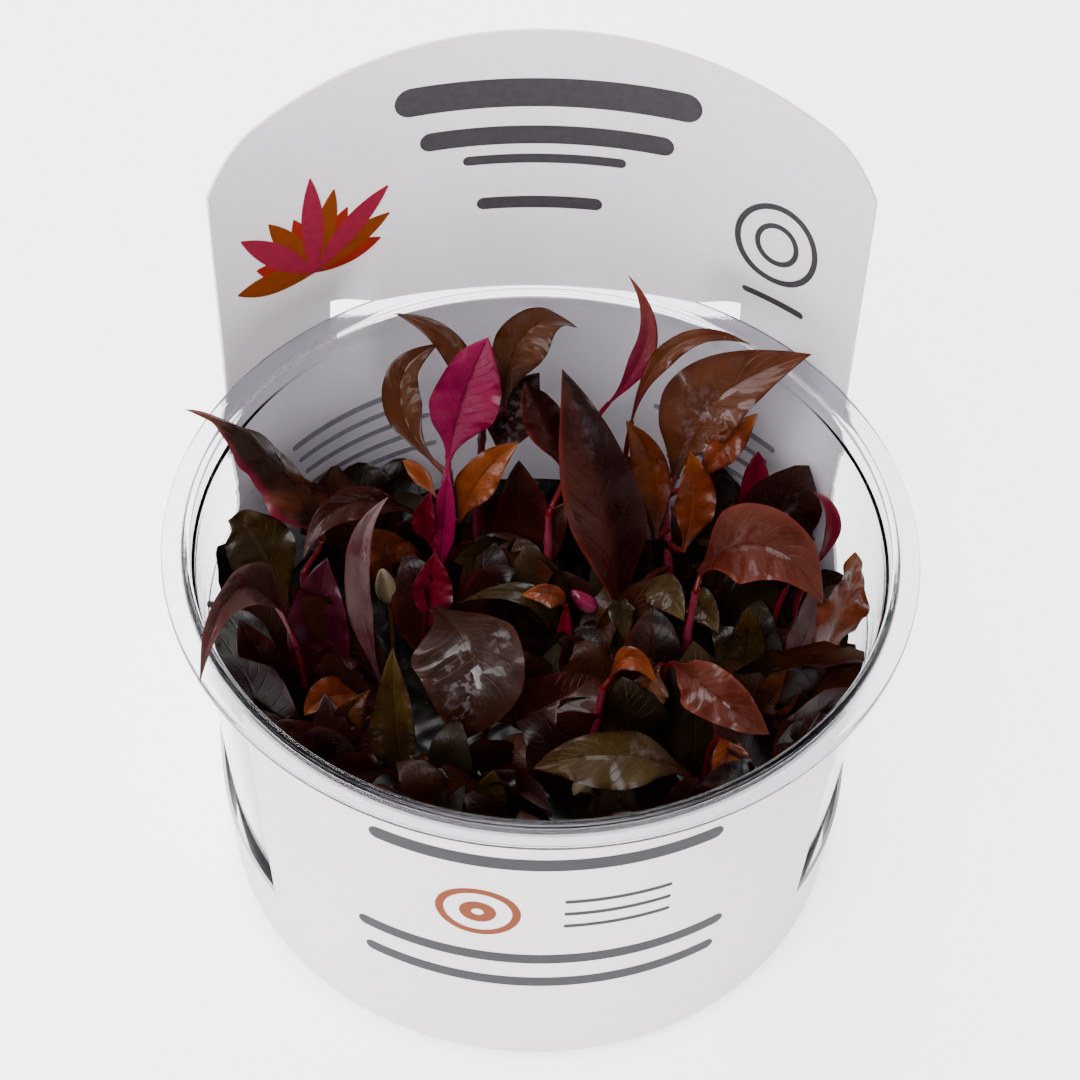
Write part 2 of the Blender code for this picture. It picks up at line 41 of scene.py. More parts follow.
# Sizes below are in mm and degrees unless a note says otherwise.
class Wire:
    # one socket, so that maths on values is written as a plain expression
    def __init__(self, mat, socket):
        self.mat, self.socket = mat, socket

    def maths(self, operation, *others):
        return self.mat.node("ShaderNodeMath", {"operation": operation}, {0: self, **dict(enumerate(others, 1))})

    def __add__(self, other): return self.maths("ADD", other)
    def __radd__(self, other): return self.maths("ADD", other)
    def __mul__(self, other): return self.maths("MULTIPLY", other)
    def __rmul__(self, other): return self.maths("MULTIPLY", other)
    def __sub__(self, other): return self.maths("SUBTRACT", other)
    def __pow__(self, other): return self.maths("POWER", other)

    def __rsub__(self, other):
        return self.mat.node("ShaderNodeMath", {"operation": "SUBTRACT"}, {0: other, 1: self})

    def size(self): return self.maths("ABSOLUTE")
    def wave(self): return self.maths("SINE")

    def climb(self, low, high):
        # 0 at low, 1 at high, an S-shaped climb between them
        return self.mat.node("ShaderNodeMapRange", {"interpolation_type": "SMOOTHSTEP"},
                             {"Value": self, "From Min": low, "From Max": high})


class Finish:
    # one material; node() takes a type, its settings and its socket values or links
    def __init__(self, name):
        self.material = bpy.data.materials.new(name)
        self.material.use_nodes = True
        self.tree = self.material.node_tree
        self.shader = self.tree.nodes["Principled BSDF"]

    def put(self, socket, value):
        if isinstance(value, Wire):
            self.tree.links.new(value.socket, socket)
        elif isinstance(value, tuple) and len(value) == 3 and socket.type == "RGBA":
            socket.default_value = (*value, 1.0)
        else:
            socket.default_value = value

    def node(self, kind, settings=None, values=None, out=0):
        made = self.tree.nodes.new(kind)
        for key, value in (settings or {}).items():
            setattr(made, key, value)
        for key, value in (values or {}).items():
            self.put(made.inputs[key], value)
        return Wire(self, made.outputs[out])

    def mix(self, share, first, second):
        return self.node("ShaderNodeMix", {"data_type": "RGBA"}, {0: share, 6: first, 7: second}, out=2)

    def noise(self, scale, detail=3.0, stretch=None):
        where = self.node("ShaderNodeTexCoord", out=3)
        if stretch:
            where = self.node("ShaderNodeVectorMath", {"operation": "MULTIPLY"}, {0: where, 1: stretch})
        return self.node("ShaderNodeTexNoise", {}, {"Vector": where, "Scale": scale, "Detail": detail})

    def specks(self, scale):
        where = self.node("ShaderNodeTexCoord", out=3)
        return self.node("ShaderNodeTexVoronoi", {}, {"Vector": where, "Scale": scale})

    def stored(self, name):
        return self.node("ShaderNodeAttribute", {"attribute_name": name}, out=2)

    def bump(self, height, strength, depth):
        return self.node("ShaderNodeBump", {}, {"Height": height, "Strength": strength, "Distance": depth})

    def surface(self, **values):
        for key, value in values.items():
            self.put(self.shader.inputs[key.replace("_", " ")], value)
        return self.material


def paint(red, green, blue):
    # a screen colour of 0 to 255 as linear light
    part = np.array([red, green, blue]) / 255
    light = np.where(part <= 0.04045, part / 12.92, ((part + 0.055) / 1.055) ** 2.4)
    return tuple(float(x) for x in light)


def shaded(colour, share):
    return tuple(share * part for part in colour)


def unit(vectors):
    return vectors / np.maximum(np.linalg.norm(vectors, axis=-1, keepdims=True), 1e-12)


def ease(values):
    # S-shaped ramp: 3x^2 - 2x^3 between 0 and 1
    values = np.clip(values, 0, 1)
    return values * values * (3 - 2 * values)


def turnAbout(vectors, axis, angle):
    # Rodrigues: v cos + (axis x v) sin + axis (axis.v)(1 - cos)
    return (vectors * np.cos(angle) + np.cross(axis, vectors) * np.sin(angle)
            + axis * (vectors * axis).sum(-1, keepdims=True) * (1 - np.cos(angle)))


def curve(start, bend, end, share):
    # quadratic: start (1 - s)^2 + 2 bend s (1 - s) + end s^2
    return start * (1 - share) ** 2 + bend * 2 * share * (1 - share) + end * share**2


def shell(rings, looped=False, **marks):
    # rows of closed rings joined to each other; one point closes each end, or the last row joins the first
    rows, around = rings.shape[:2]
    grid = np.arange(rows * around).reshape(rows, around)
    beside = np.roll(grid, -1, axis=1)
    quads = np.stack([grid, beside, np.roll(beside, -1, axis=0), np.roll(grid, -1, axis=0)], -1)
    quads = (quads if looped else quads[:-1]).reshape(-1, 4)
    low, high = np.full(around, rows * around), np.full(around, rows * around + 1)
    fans = np.vstack([np.stack([beside[0], grid[0], low], -1), np.stack([grid[-1], beside[-1], high], -1)])
    points = np.vstack([rings.reshape(-1, 3), rings[0].mean(0), rings[-1].mean(0)])
    if looped:
        points, fans = points[:-2], fans[:0]
    a, b, c, d = (points[quads[:, k]] for k in range(4))
    e, f, g = (points[fans[:, k]] for k in range(3))
    volume = sum((np.cross(u, v) * w).sum() for u, v, w in ((a, b, c), (a, c, d), (e, f, g)))
    if volume < 0:
        quads, fans = quads[:, ::-1], fans[:, ::-1]
    flat = {}
    for name, values in marks.items():
        values = np.broadcast_to(np.asarray(values, float), (rows, around))
        flat[name] = np.concatenate([values.ravel(), [values[0].mean(), values[-1].mean()]])
    return {"points": points, "quads": quads, "fans": fans, "marks": flat}


def piece(name, shells, material, replaces=(), sharp=50):
    # one mesh of one or more closed shells, in metres, with its marks as vertex attributes
    counts = np.cumsum([0] + [len(s["points"]) for s in shells])
    points = np.vstack([s["points"] for s in shells]) * mm
    faces = []
    for start, s in zip(counts, shells):
        faces += (s["quads"] + start).tolist() + (s["fans"] + start).tolist()
    mesh = bpy.data.meshes.new(name)
    mesh.from_pydata(points.tolist(), [], faces)
    for key in shells[0]["marks"]:
        values = np.concatenate([s["marks"][key] for s in shells]).astype(np.float32)
        mesh.attributes.new(key, "FLOAT", "POINT").data.foreach_set("value", values)
    mesh.materials.append(material)
    mesh.shade_smooth()
    mesh.set_sharp_from_angle(angle=np.radians(sharp))
    thing = bpy.data.objects.new(name, mesh)
    bpy.context.scene.collection.objects.link(thing)
    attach(thing, "root")
    if replaces:
        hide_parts(*replaces)
    return thing


def turned(profile, around):
    # a closed section of (radius, height) points carried round Z, its first and last points near the axis
    angle = np.linspace(0, 2 * np.pi, around, endpoint=False)
    radius, height = np.array(profile, float).T
    ring = np.stack([np.cos(angle), np.sin(angle), np.zeros(around)], -1)
    return ring[None] * radius[:, None, None] + np.array([0, 0, 1]) * height[:, None, None]


def rounded(corners, radius, steps=4):
    # the corners of an open line, each replaced by a short quadratic curve
    corners = np.array(corners, float)
    out = [corners[0]]
    for before, corner, after in zip(corners, corners[1:], corners[2:]):
        reach = min(radius, np.linalg.norm(before - corner) * 0.45, np.linalg.norm(after - corner) * 0.45)
        start = corner + unit(before - corner) * reach
        end = corner + unit(after - corner) * reach
        share = np.linspace(0, 1, steps + 1)[:, None]
        out += list(curve(start, corner, end, share))
    return np.array(out + [corners[-1]])


def tube(points, radius, around=8, start=(0.31, 0.87, 0.38), **marks):
    # a section carried along a line of points; radius is a column that may change along it, or a grid
    along = unit(np.gradient(points, axis=0))
    side = unit(np.cross(along, start))
    other = np.cross(along, side)
    angle = np.linspace(0, 2 * np.pi, around, endpoint=False)[:, None]
    circle = side[:, None] * np.cos(angle) + other[:, None] * np.sin(angle)
    return shell(points[:, None] + np.atleast_2d(radius)[..., None] * circle, **marks)


# Camera where the photograph was taken from, with a 100 mm lens on a 36 mm sensor; its turns are in radians
shot = {"place": (-2.0158, -261.04, 356.1414), "down": 0.8514, "yaw": 0.007, "roll": 0.0409, "lens": 100}
ahead = np.array([np.sin(shot["yaw"]) * np.cos(shot["down"]), np.cos(shot["yaw"]) * np.cos(shot["down"]),
                  -np.sin(shot["down"])])
level = unit(np.cross(ahead, (0, 0, 1)))
above = np.cross(level, ahead)
cosRoll, sinRoll = np.cos(shot["roll"]), np.sin(shot["roll"])
level, above = cosRoll * level + sinRoll * above, cosRoll * above - sinRoll * level
camera = bpy.data.objects.new("camera", bpy.data.cameras.new("camera"))
camera.data.lens, camera.data.sensor_width = shot["lens"], 36
camera.data.clip_start, camera.data.clip_end = 0.01, 90


def stand(thing, right, top, back, place):
    # an object's own axes and its place, in metres
    rows = np.column_stack([right, top, back, place]).tolist()
    thing.matrix_world = Matrix(rows + [[0, 0, 0, 1]])


stand(camera, level, above, -ahead, np.array(shot["place"]) * mm)
bpy.context.scene.collection.objects.link(camera)
bpy.context.scene.camera = camera

# Floor and light, in metres
studio = {"sky": 0.5, "sky colour": (0.97, 0.98, 1.0), "floor": paint(250, 250, 252), "floor glow": 2.0,
          "floor reach": 30, "floor depth": -0.0004, "aim": (0, 0, 0.045),
          "back": {"place": (-0.15, 0.6, 1.0), "size": 0.6, "watts": 16.0},
          "front": {"place": (-0.3, -0.6, 0.95), "size": 0.7, "watts": 24.0},
          "left": {"place": (-0.9, 0.1, 0.5), "size": 0.5, "watts": 5.0}}
world = bpy.data.worlds.new("studio")
bpy.context.scene.world = world
world.use_nodes = True
world.node_tree.nodes["Background"].inputs["Color"].default_value = (*studio["sky colour"], 1)
world.node_tree.nodes["Background"].inputs["Strength"].default_value = studio["sky"]
for name in ("back", "front", "left"):
    lamp = bpy.data.lights.new(name + "_light", "AREA")
    lamp.energy, lamp.size = studio[name]["watts"], studio[name]["size"]
    holder = bpy.data.objects.new(name + "_light", lamp)
    place = np.array(studio[name]["place"])
    back = unit(place - studio["aim"])
    side = unit(np.cross((0, 0, 1), back))
    stand(holder, side, np.cross(back, side), back, place)
    bpy.context.scene.collection.objects.link(holder)
floorFinish = Finish("pale_floor")
floorMesh = bpy.data.meshes.new("floor")
reach, depth = studio["floor reach"], studio["floor depth"]
corners = [(x * reach, y * reach, depth) for x, y in ((-1, -1), (1, -1), (1, 1), (-1, 1))]
floorMesh.from_pydata(corners, [], [(0, 1, 2, 3)])
floorMesh.materials.append(floorFinish.surface(Base_Color=studio["floor"], Roughness=0.6,
                                               Emission_Color=(1.0, 1.0, 1.0), Emission_Strength=studio["floor glow"]))
floor = bpy.data.objects.new("floor", floorMesh)
bpy.context.scene.collection.objects.link(floor)
print("camera, light and floor made")

# Tub: clear, thin, tapered, with a flange, a low bead round its mouth and faint steps inside
tub = {"rim": 50.0, "height": 59.0, "flange": 0.9, "wall top": 46.7, "wall base": 42.4, "wall": 0.75, "floor": 0.8,
       "step": 0.35, "seal": 2.8, "stack": 10.0, "stack height": 3.4, "bead": 0.55, "segments": 192}


def wallRadius(height):
    # straight taper from the base radius to the top radius
    return tub["wall base"] + (tub["wall top"] - tub["wall base"]) * np.clip(height / tub["height"], 0, 1)


def tubSection():
    # outer wall with three small steps, the inner wall the same less the wall's thickness, then bead, flange and foot
    top, drop = tub["height"], tub["step"] / 2
    seal, stack = top - tub["seal"], top - tub["stack"]
    low = stack - tub["stack height"]
    outside = []
    for count, level in enumerate((seal, stack, low)):
        outside += [(wallRadius(level) - drop * count, level), (wallRadius(level) - drop * (count + 1), level - 1.1)]
    outside.append((wallRadius(20) - 2 * drop, 20))
    inside = [(radius - tub["wall"], height) for radius, height in outside]
    mouth, edge = tub["wall top"] - tub["wall"] + tub["step"], top - tub["flange"] * 1.05
    section = [(0.02, tub["floor"]), (tub["wall base"] - 3.2, tub["floor"]),
               (tub["wall base"] - 1.6, tub["floor"] + 1.4), *inside[::-1], (mouth - 0.2, seal + 0.4),
               (mouth - 0.15, top - 0.4), (mouth + 0.05, top + tub["bead"]), (mouth + 0.75, top + tub["bead"]),
               (mouth + 1.0, top), (tub["rim"] - 0.05, top), (tub["rim"], edge), (tub["rim"] - 0.9, edge),
               (tub["rim"] - 1.1, top - tub["flange"]), (tub["wall top"], top - tub["flange"]), *outside,
               (tub["wall base"] - 0.35, 1.4), (tub["wall base"] - 1.2, 0), (0.02, 0)]
    return rounded(section, 0.3, 4)


plastic = Finish("clear_plastic")
scuff = plastic.noise(260, 4, (1, 1, 0.25))
where = plastic.node("ShaderNodeTexCoord", out=3)
east, north = (plastic.node("ShaderNodeSeparateXYZ", {}, {"Vector": where}, out=k) for k in (0, 1))
# the moulded rim, outside 46.6 mm from the axis, is a little milky
milky = ((east**2 + north**2) ** 0.5).climb(0.0462, 0.047)
# painted shade: a grey specular tint dims the plastic's reflections seen near head-on, standing in for darker
# surroundings
clearPlastic = plastic.surface(Base_Color=plastic.mix(milky, (0.94, 0.945, 0.97), (0.8, 0.8, 0.86)),
                               Roughness=0.02 + scuff.climb(0.5, 0.8) * 0.05 + milky * 0.1,
                               Transmission_Weight=1.0, IOR=1.4, Specular_Tint=(0.22, 0.22, 0.23),
                               Normal=plastic.bump(plastic.noise(90, 2, (1, 1, 0.3)), 0.06, 0.0002))
piece("tub", [shell(turned(tubSection(), tub["segments"]))], clearPlastic, ("cup",), sharp=70)
print("tub made")

# Card sleeve: hugs the tub, swells out under the flange at the back and rises in a rounded header
card = {"thick": 0.45, "gap": 0.3, "bottom": 1.3, "front top": 56.9, "sill": 14.0, "front edge": 126.0,
        "rise": 104.0, "header edge": 57.5, "slot": 35.0, "release": 27.0, "height": 43.9, "crown": 6.1,
        "crown at": 38.7, "corner": 4.0, "corner from": 40.0, "half": 48.8, "back": 47.1, "lean": 0.072,
        "bend": 55.1, "spread": 0.28, "slot drop": 1.7, "slot lift": 0.4, "slot end": 2.2, "turn": 2.5, "rows": 30}


def headerRadius(angle):
    # distance from the axis to a circle of the header's own radius, set back from the axis
    centre = card["back"] - card["bend"]
    return centre * np.cos(angle) + np.sqrt(card["bend"] ** 2 - (centre * np.sin(angle)) ** 2)


def headerArc(angle):
    return card["bend"] * np.arcsin(headerRadius(angle) * np.sin(angle) / card["bend"])


def pushOut(angle):
    # beside the slot the card is held outside the flange
    held = tub["rim"] + card["gap"] + card["thick"] / 2 + 0.1
    share = (np.abs(angle) - np.radians(card["release"])) / np.radians(card["slot"] - 0.1 - card["release"])
    return (held - headerRadius(angle)) * ease(share)


def cardPoint(angle, height):
    # below the rim: wall radius plus gap, swelling to the header's line
    # above it: a leaning cone whose radius is bend + spread * rise
    edge = np.radians(card["header edge"])
    turn = np.minimum(np.abs(angle), edge)
    hug = wallRadius(height) + card["gap"] + card["thick"] / 2
    lift = ease((height - (tub["height"] - 16)) / 12)
    side = ease((np.radians(75) - np.abs(angle)) / (np.radians(75) - edge))
    radius = hug + np.maximum(headerRadius(turn) + pushOut(turn) - hug, 0) * lift * side
    low = np.stack([radius * np.sin(angle), radius * np.cos(angle), height], -1)
    inHeader = np.clip(angle, -edge, edge)
    rise = np.maximum(height - tub["height"], 0)
    arc, bend = headerArc(inHeader), card["bend"] + card["spread"] * rise
    out = pushOut(inHeader) * (1 - ease(rise / 12))
    high = np.stack([bend * np.sin(arc / bend) + out * np.sin(inHeader),
                     card["back"] + card["lean"] * rise - bend * (1 - np.cos(arc / bend)) + out * np.cos(inHeader),
                     height], -1)
    upper = ((height > tub["height"] - card["slot drop"]) & (np.abs(angle) <= edge + 1e-4))[..., None]
    point = np.where(upper, high, low)
    lean = np.radians(card["turn"])
    x, y = point[..., 0], point[..., 1]
    return np.stack([x * np.cos(lean) - y * np.sin(lean), x * np.sin(lean) + y * np.cos(lean), point[..., 2]], -1)


def cardTop(degrees):
    # header crown with rounded corners, then a parabola down to the window sill, then the front's straight top
    turn = np.abs(degrees)
    arc = headerArc(np.radians(np.minimum(turn, card["header edge"])))
    corner = np.maximum(np.abs(arc) - card["corner from"], 0) / (card["half"] - card["corner from"])
    crown = tub["height"] + card["height"] - card["crown"] * (arc / card["crown at"]) ** 2
    crown = crown - card["corner"] * corner**2.3
    share = np.maximum(card["rise"] - turn, 0) / (card["rise"] - card["header edge"])
    window = card["sill"] + (tub["height"] - card["slot drop"] - card["sill"]) * share**2
    return np.where(turn <= card["header edge"], crown, np.where(turn > card["front edge"], card["front top"], window))


def makeCard(material):
    edge, front = card["header edge"], card["front edge"]
    half = np.concatenate([np.linspace(0.5, card["slot"], 50), np.linspace(card["slot"] + 0.5, edge, 40),
                           np.linspace(edge + 0.3, front - 0.15, 60), np.linspace(front + 0.15, 180, 60)])
    degrees = np.concatenate([-half[:-1][::-1], [0.0], half])
    top = cardTop(degrees)
    slotLow = tub["height"] - card["slot drop"]
    arc = headerArc(np.radians(np.clip(degrees, -edge, edge)))
    slotHigh = tub["height"] + np.minimum(card["slot lift"] + card["slot end"] * (arc / 30) ** 2, 4)
    inHeader = (np.abs(degrees) <= edge)[:, None]
    share = np.linspace(0, 1, card["rows"] + 1)[None]
    lower = np.where(inHeader, card["bottom"] + (slotLow - card["bottom"]) * share,
                     card["bottom"] + (top - 0.3 - card["bottom"])[:, None] * share)
    upper = np.where(inHeader, slotHigh[:, None] + (top - slotHigh)[:, None] * share,
                     top[:, None] - 0.29 + 0.29 * share)
    heights = np.hstack([lower, upper])
    points = cardPoint(np.radians(degrees)[:, None] + heights * 0, heights)
    columns, rows = heights.shape
    grid = np.arange(columns * rows).reshape(columns, rows)
    beside = np.roll(grid, -1, axis=0)
    quads = np.stack([grid[:, :-1], beside[:, :-1], beside[:, 1:], grid[:, 1:]], -1)
    nextDegrees = np.roll(degrees, -1)
    overSlot = np.maximum(np.abs(degrees), np.abs(nextDegrees)) <= card["slot"] + 1e-6
    inSlot = overSlot[:, None] & (np.arange(rows - 1) == card["rows"])
    mesh = bpy.data.meshes.new("card_sleeve")
    mesh.from_pydata((points.reshape(-1, 3) * mm).tolist(), [], quads[~inSlot].tolist())
    mesh.materials.append(material)
    mesh.shade_smooth()
    thing = bpy.data.objects.new("card_sleeve", mesh)
    bpy.context.scene.collection.objects.link(thing)
    wall = thing.modifiers.new("card", "SOLIDIFY")
    wall.thickness, wall.offset = card["thick"] * mm, 0
    thick = bpy.data.meshes.new_from_object(thing.evaluated_get(bpy.context.evaluated_depsgraph_get()))
    thing.modifiers.clear()
    thing.data = thick
    thick.set_sharp_from_angle(angle=np.radians(50))
    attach(thing, "root")
    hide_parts("label_sleeve")
    return thing


board = Finish("white_card")
fibre = board.noise(1500, 3)
cloud = board.noise(30, 2)
whiteCard = board.surface(Base_Color=board.mix(cloud.climb(0.35, 0.7), paint(222, 214, 218), paint(231, 224, 228)),
                          Roughness=0.4 + fibre * 0.12, Specular_IOR_Level=0.3,
                          Normal=board.bump(fibre, 0.06, 0.00005))
makeCard(whiteCard)
print("card sleeve made")

# Plain print on the card: rounded bars, rings and almonds laid on its surface, a twentieth of a mm proud


def onCard(across, height, face):
    # across is an arc length in mm: on the header from its middle, on the front label from the front middle
    if face == "header":
        table = np.radians(np.linspace(-card["header edge"], card["header edge"], 400))
        angle = np.interp(across, headerArc(table), table)
        inward = -1
    else:
        angle, inward = np.pi - across / (wallRadius(height) + 0.5), 1
    step = 1e-3
    here = cardPoint(angle, height)
    toSide = cardPoint(angle + step, height) - here
    toTop = cardPoint(angle, height + step * 40) - here
    normal = unit(np.cross(toTop, toSide)) * inward
    outward = np.where((normal * here * np.array([1, 1, 0])).sum(-1, keepdims=True) * inward < 0, -normal, normal)
    return here + outward * (card["thick"] / 2 + 0.01), outward


def inkStrip(middle, half, face, looped=False, proud=0.05):
    # a flat band of changing half width carried along a line on the card
    middle = np.array(middle, float)
    if looped:
        along = unit(np.roll(middle, -1, axis=0) - np.roll(middle, 1, axis=0))
    else:
        along = unit(np.gradient(middle, axis=0))
    side = np.stack([-along[:, 1], along[:, 0]], -1)
    share = np.array([-1.0, -0.5, 0.0, 0.5, 1.0])
    place = middle[:, None] + side[:, None] * share[:, None] * np.broadcast_to(half, len(middle))[:, None, None]
    base, outward = onCard(place[..., 0], place[..., 1], face)
    return shell(np.concatenate([base + outward * proud, base[:, ::-1]], axis=1), looped)


def bar(left, right, height, thick, face):
    # a straight bar with round ends: half width falls as a circle near each end
    end = thick * 0.5 * (1 - np.cos(np.linspace(0, np.pi / 2, 10)))
    between = np.linspace(left + thick * 0.5, right - thick * 0.5, 50)[1:-1]
    across = np.concatenate([left + end, between, right - end[::-1]])
    near = np.minimum(across - left, right - across)
    half = thick / 2 * np.sqrt(np.clip(1 - np.clip(1 - near / (thick * 0.5), 0, 1) ** 2, 0.002, 1))
    return inkStrip(np.stack([across, height + across * 0], -1), half, face)


def ring(across, height, radius, thick, face):
    angle = np.linspace(0, 2 * np.pi, 48, endpoint=False)
    line = np.stack([across + radius * np.cos(angle), height + radius * np.sin(angle)], -1)
    return inkStrip(line, thick / 2, face, looped=True)


def almond(across, height, angle, length, width, face, proud):
    # a pointed oval: half width follows a sine from end to end
    share = np.linspace(0, 1, 22)
    turn = np.radians(angle)
    line = np.stack([across + length * share * np.cos(turn), height + length * share * np.sin(turn)], -1)
    return inkStrip(line, width / 2 * np.sin(np.pi * np.clip(share, 0.01, 0.99)) ** 0.8, face, proud=proud)


def inkFinish(name, colour):
    ink = Finish(name)
    grain = ink.noise(900, 3)
    return ink.surface(Base_Color=ink.mix(grain.climb(0.35, 0.65), shaded(colour, 0.86), colour),
                       Roughness=0.5 + grain * 0.1, Specular_IOR_Level=0.12, Normal=ink.bump(grain, 0.05, 0.00003))


colours = {"dark_grey": (58, 54, 58), "grey": (44, 44, 47), "pale_grey": (150, 146, 154), "orange": (112, 46, 0),
           "coral": (128, 26, 16), "pink": (124, 22, 46)}
inks = {name: inkFinish("ink_" + name, paint(*colour)) for name, colour in colours.items()}


def printPiece(name, ink, face, bars=(), rings=()):
    # bars: left, right, height, thickness; rings: middle, height, radius, thickness
    shells = [ring(*sizes, face) for sizes in rings] + [bar(*sizes, face) for sizes in bars]
    piece("print_" + name, shells, inks[ink])


headerPrint = {"bars": ((-20.0, 22.0, 93.0, 4.6), (-16.5, 18.5, 86.0, 3.0), (-10.5, 12.0, 82.0, 1.5),
                        (-8.5, 9.0, 74.5, 2.0)),
               "rings": ((34.5, 75.5, 6.0, 0.9), (34.5, 75.5, 3.0, 0.8)), "under rings": [(29.5, 39.5, 65.5, 1.2)]}
printPiece("header_bars", "dark_grey", "header", headerPrint["bars"])
printPiece("header_ring", "dark_grey", "header", headerPrint["under rings"], headerPrint["rings"])
# each ink of the burst lies a little higher than the one before
burst = {"middle": (-32.5, 69.5), "angles": np.linspace(12, 168, 11), "length": 13.0, "width": 3.4,
         "proud": (0.05, 0.075, 0.1)}
for number, name in enumerate(("coral", "orange", "pink")):
    rays = [almond(*burst["middle"], angle, burst["length"] * (0.8 + 0.2 * ((k * 7) % 3)), burst["width"],
                   "header", burst["proud"][number])
            for k, angle in enumerate(burst["angles"]) if k % 3 == number]
    piece("print_header_" + name, rays, inks[name])
frontPrint = {"bars": ((-23, 23, 50.5, 2.6), (-25, 25, 27.0, 2.2), (-24, 24, 21.0, 2.2)),
              "rings": ((-8.5, 38.0, 5.0, 1.1), (-8.5, 38.0, 1.6, 1.6)),
              "lines": ((2.5, 16.5, 41.5, 0.7), (2.5, 16.5, 38.5, 0.7), (2.5, 16.5, 35.5, 0.7))}
printPiece("front_bars", "grey", "front", frontPrint["bars"])
printPiece("front_ring", "orange", "front", rings=frontPrint["rings"])
printPiece("front_waves", "grey", "front", frontPrint["lines"])
# plain lines on the card behind the clear wall: left end, right end, height
inner = {"thick": 0.9, "lines": [(-41, -22, 43.2), (-40, -19, 40.3), (-39, -16, 37.4), (-38, -19, 34.5),
                                 (-36, -15, 31.6), (21, 41, 43.2), (19, 40, 40.3), (22, 41, 37.4),
                                 (24, 39, 34.5), (22, 38, 31.6)]}
printPiece("inner_lines", "pale_grey", "header", [(*line, inner["thick"]) for line in inner["lines"]])
print("print made")

# Growing gel: glossy, nearly black, drawn up a little at the wall
gel = {"top": 24.0, "dip": 0.5, "bottom": 1.1, "base": 38.5, "gap": 0.5, "rows": 90, "segments": 180, "lumps": 0.13}
flatRadius = wallRadius(gel["top"]) - tub["wall"] - tub["step"] - gel["gap"]
section = rounded([(0.02, gel["bottom"]), (gel["base"], gel["bottom"]), (gel["base"] + 1.7, gel["bottom"] + 2.2),
                   (flatRadius, gel["top"] + 0.2), (flatRadius - 3, gel["top"] - 0.4)], 1.0, 5)
spokes = np.stack([np.linspace(flatRadius - 3, 0.02, gel["rows"]), np.full(gel["rows"], gel["top"] - gel["dip"])], -1)
rings = turned(np.vstack([section[:-1], spokes]), gel["segments"])
x, y = rings[..., 0], rings[..., 1]
# low lumps: two products of sines, each bent by a slower sine
lumps = np.sin(0.9 * x + 1.3 * np.sin(0.6 * y)) * np.cos(0.8 * y + np.sin(0.5 * x))
lumps = lumps + 0.4 * np.sin(1.7 * x + 2 * np.sin(0.7 * y)) * np.sin(1.5 * y)
onTop = ease((flatRadius - np.hypot(x, y)) / 4) * (rings[..., 2] > gel["top"] - 1)
rings[..., 2] += lumps * onTop * gel["lumps"]
wetGel = Finish("black_gel")
grit = wetGel.specks(700).climb(0.16, 0.04) * wetGel.noise(160, 2).climb(0.5, 0.62)
blackGel = wetGel.surface(
    Base_Color=wetGel.mix(grit, (0.004, 0.0025, 0.0025), (0.05, 0.035, 0.03)),
    Roughness=0.14 + wetGel.noise(220, 3) * 0.2, Specular_IOR_Level=0.12,
    Normal=wetGel.bump(wetGel.noise(240, 2), 0.12, 0.0002))
piece("gel", [shell(rings)], blackGel, ("gel_medium",))
print("gel made")

# Leaf colours: stalk, root end, blade, tip, edge, midrib and underside
def pigment(red, green, blue):
    return shaded(paint(red, green, blue), 0.27)


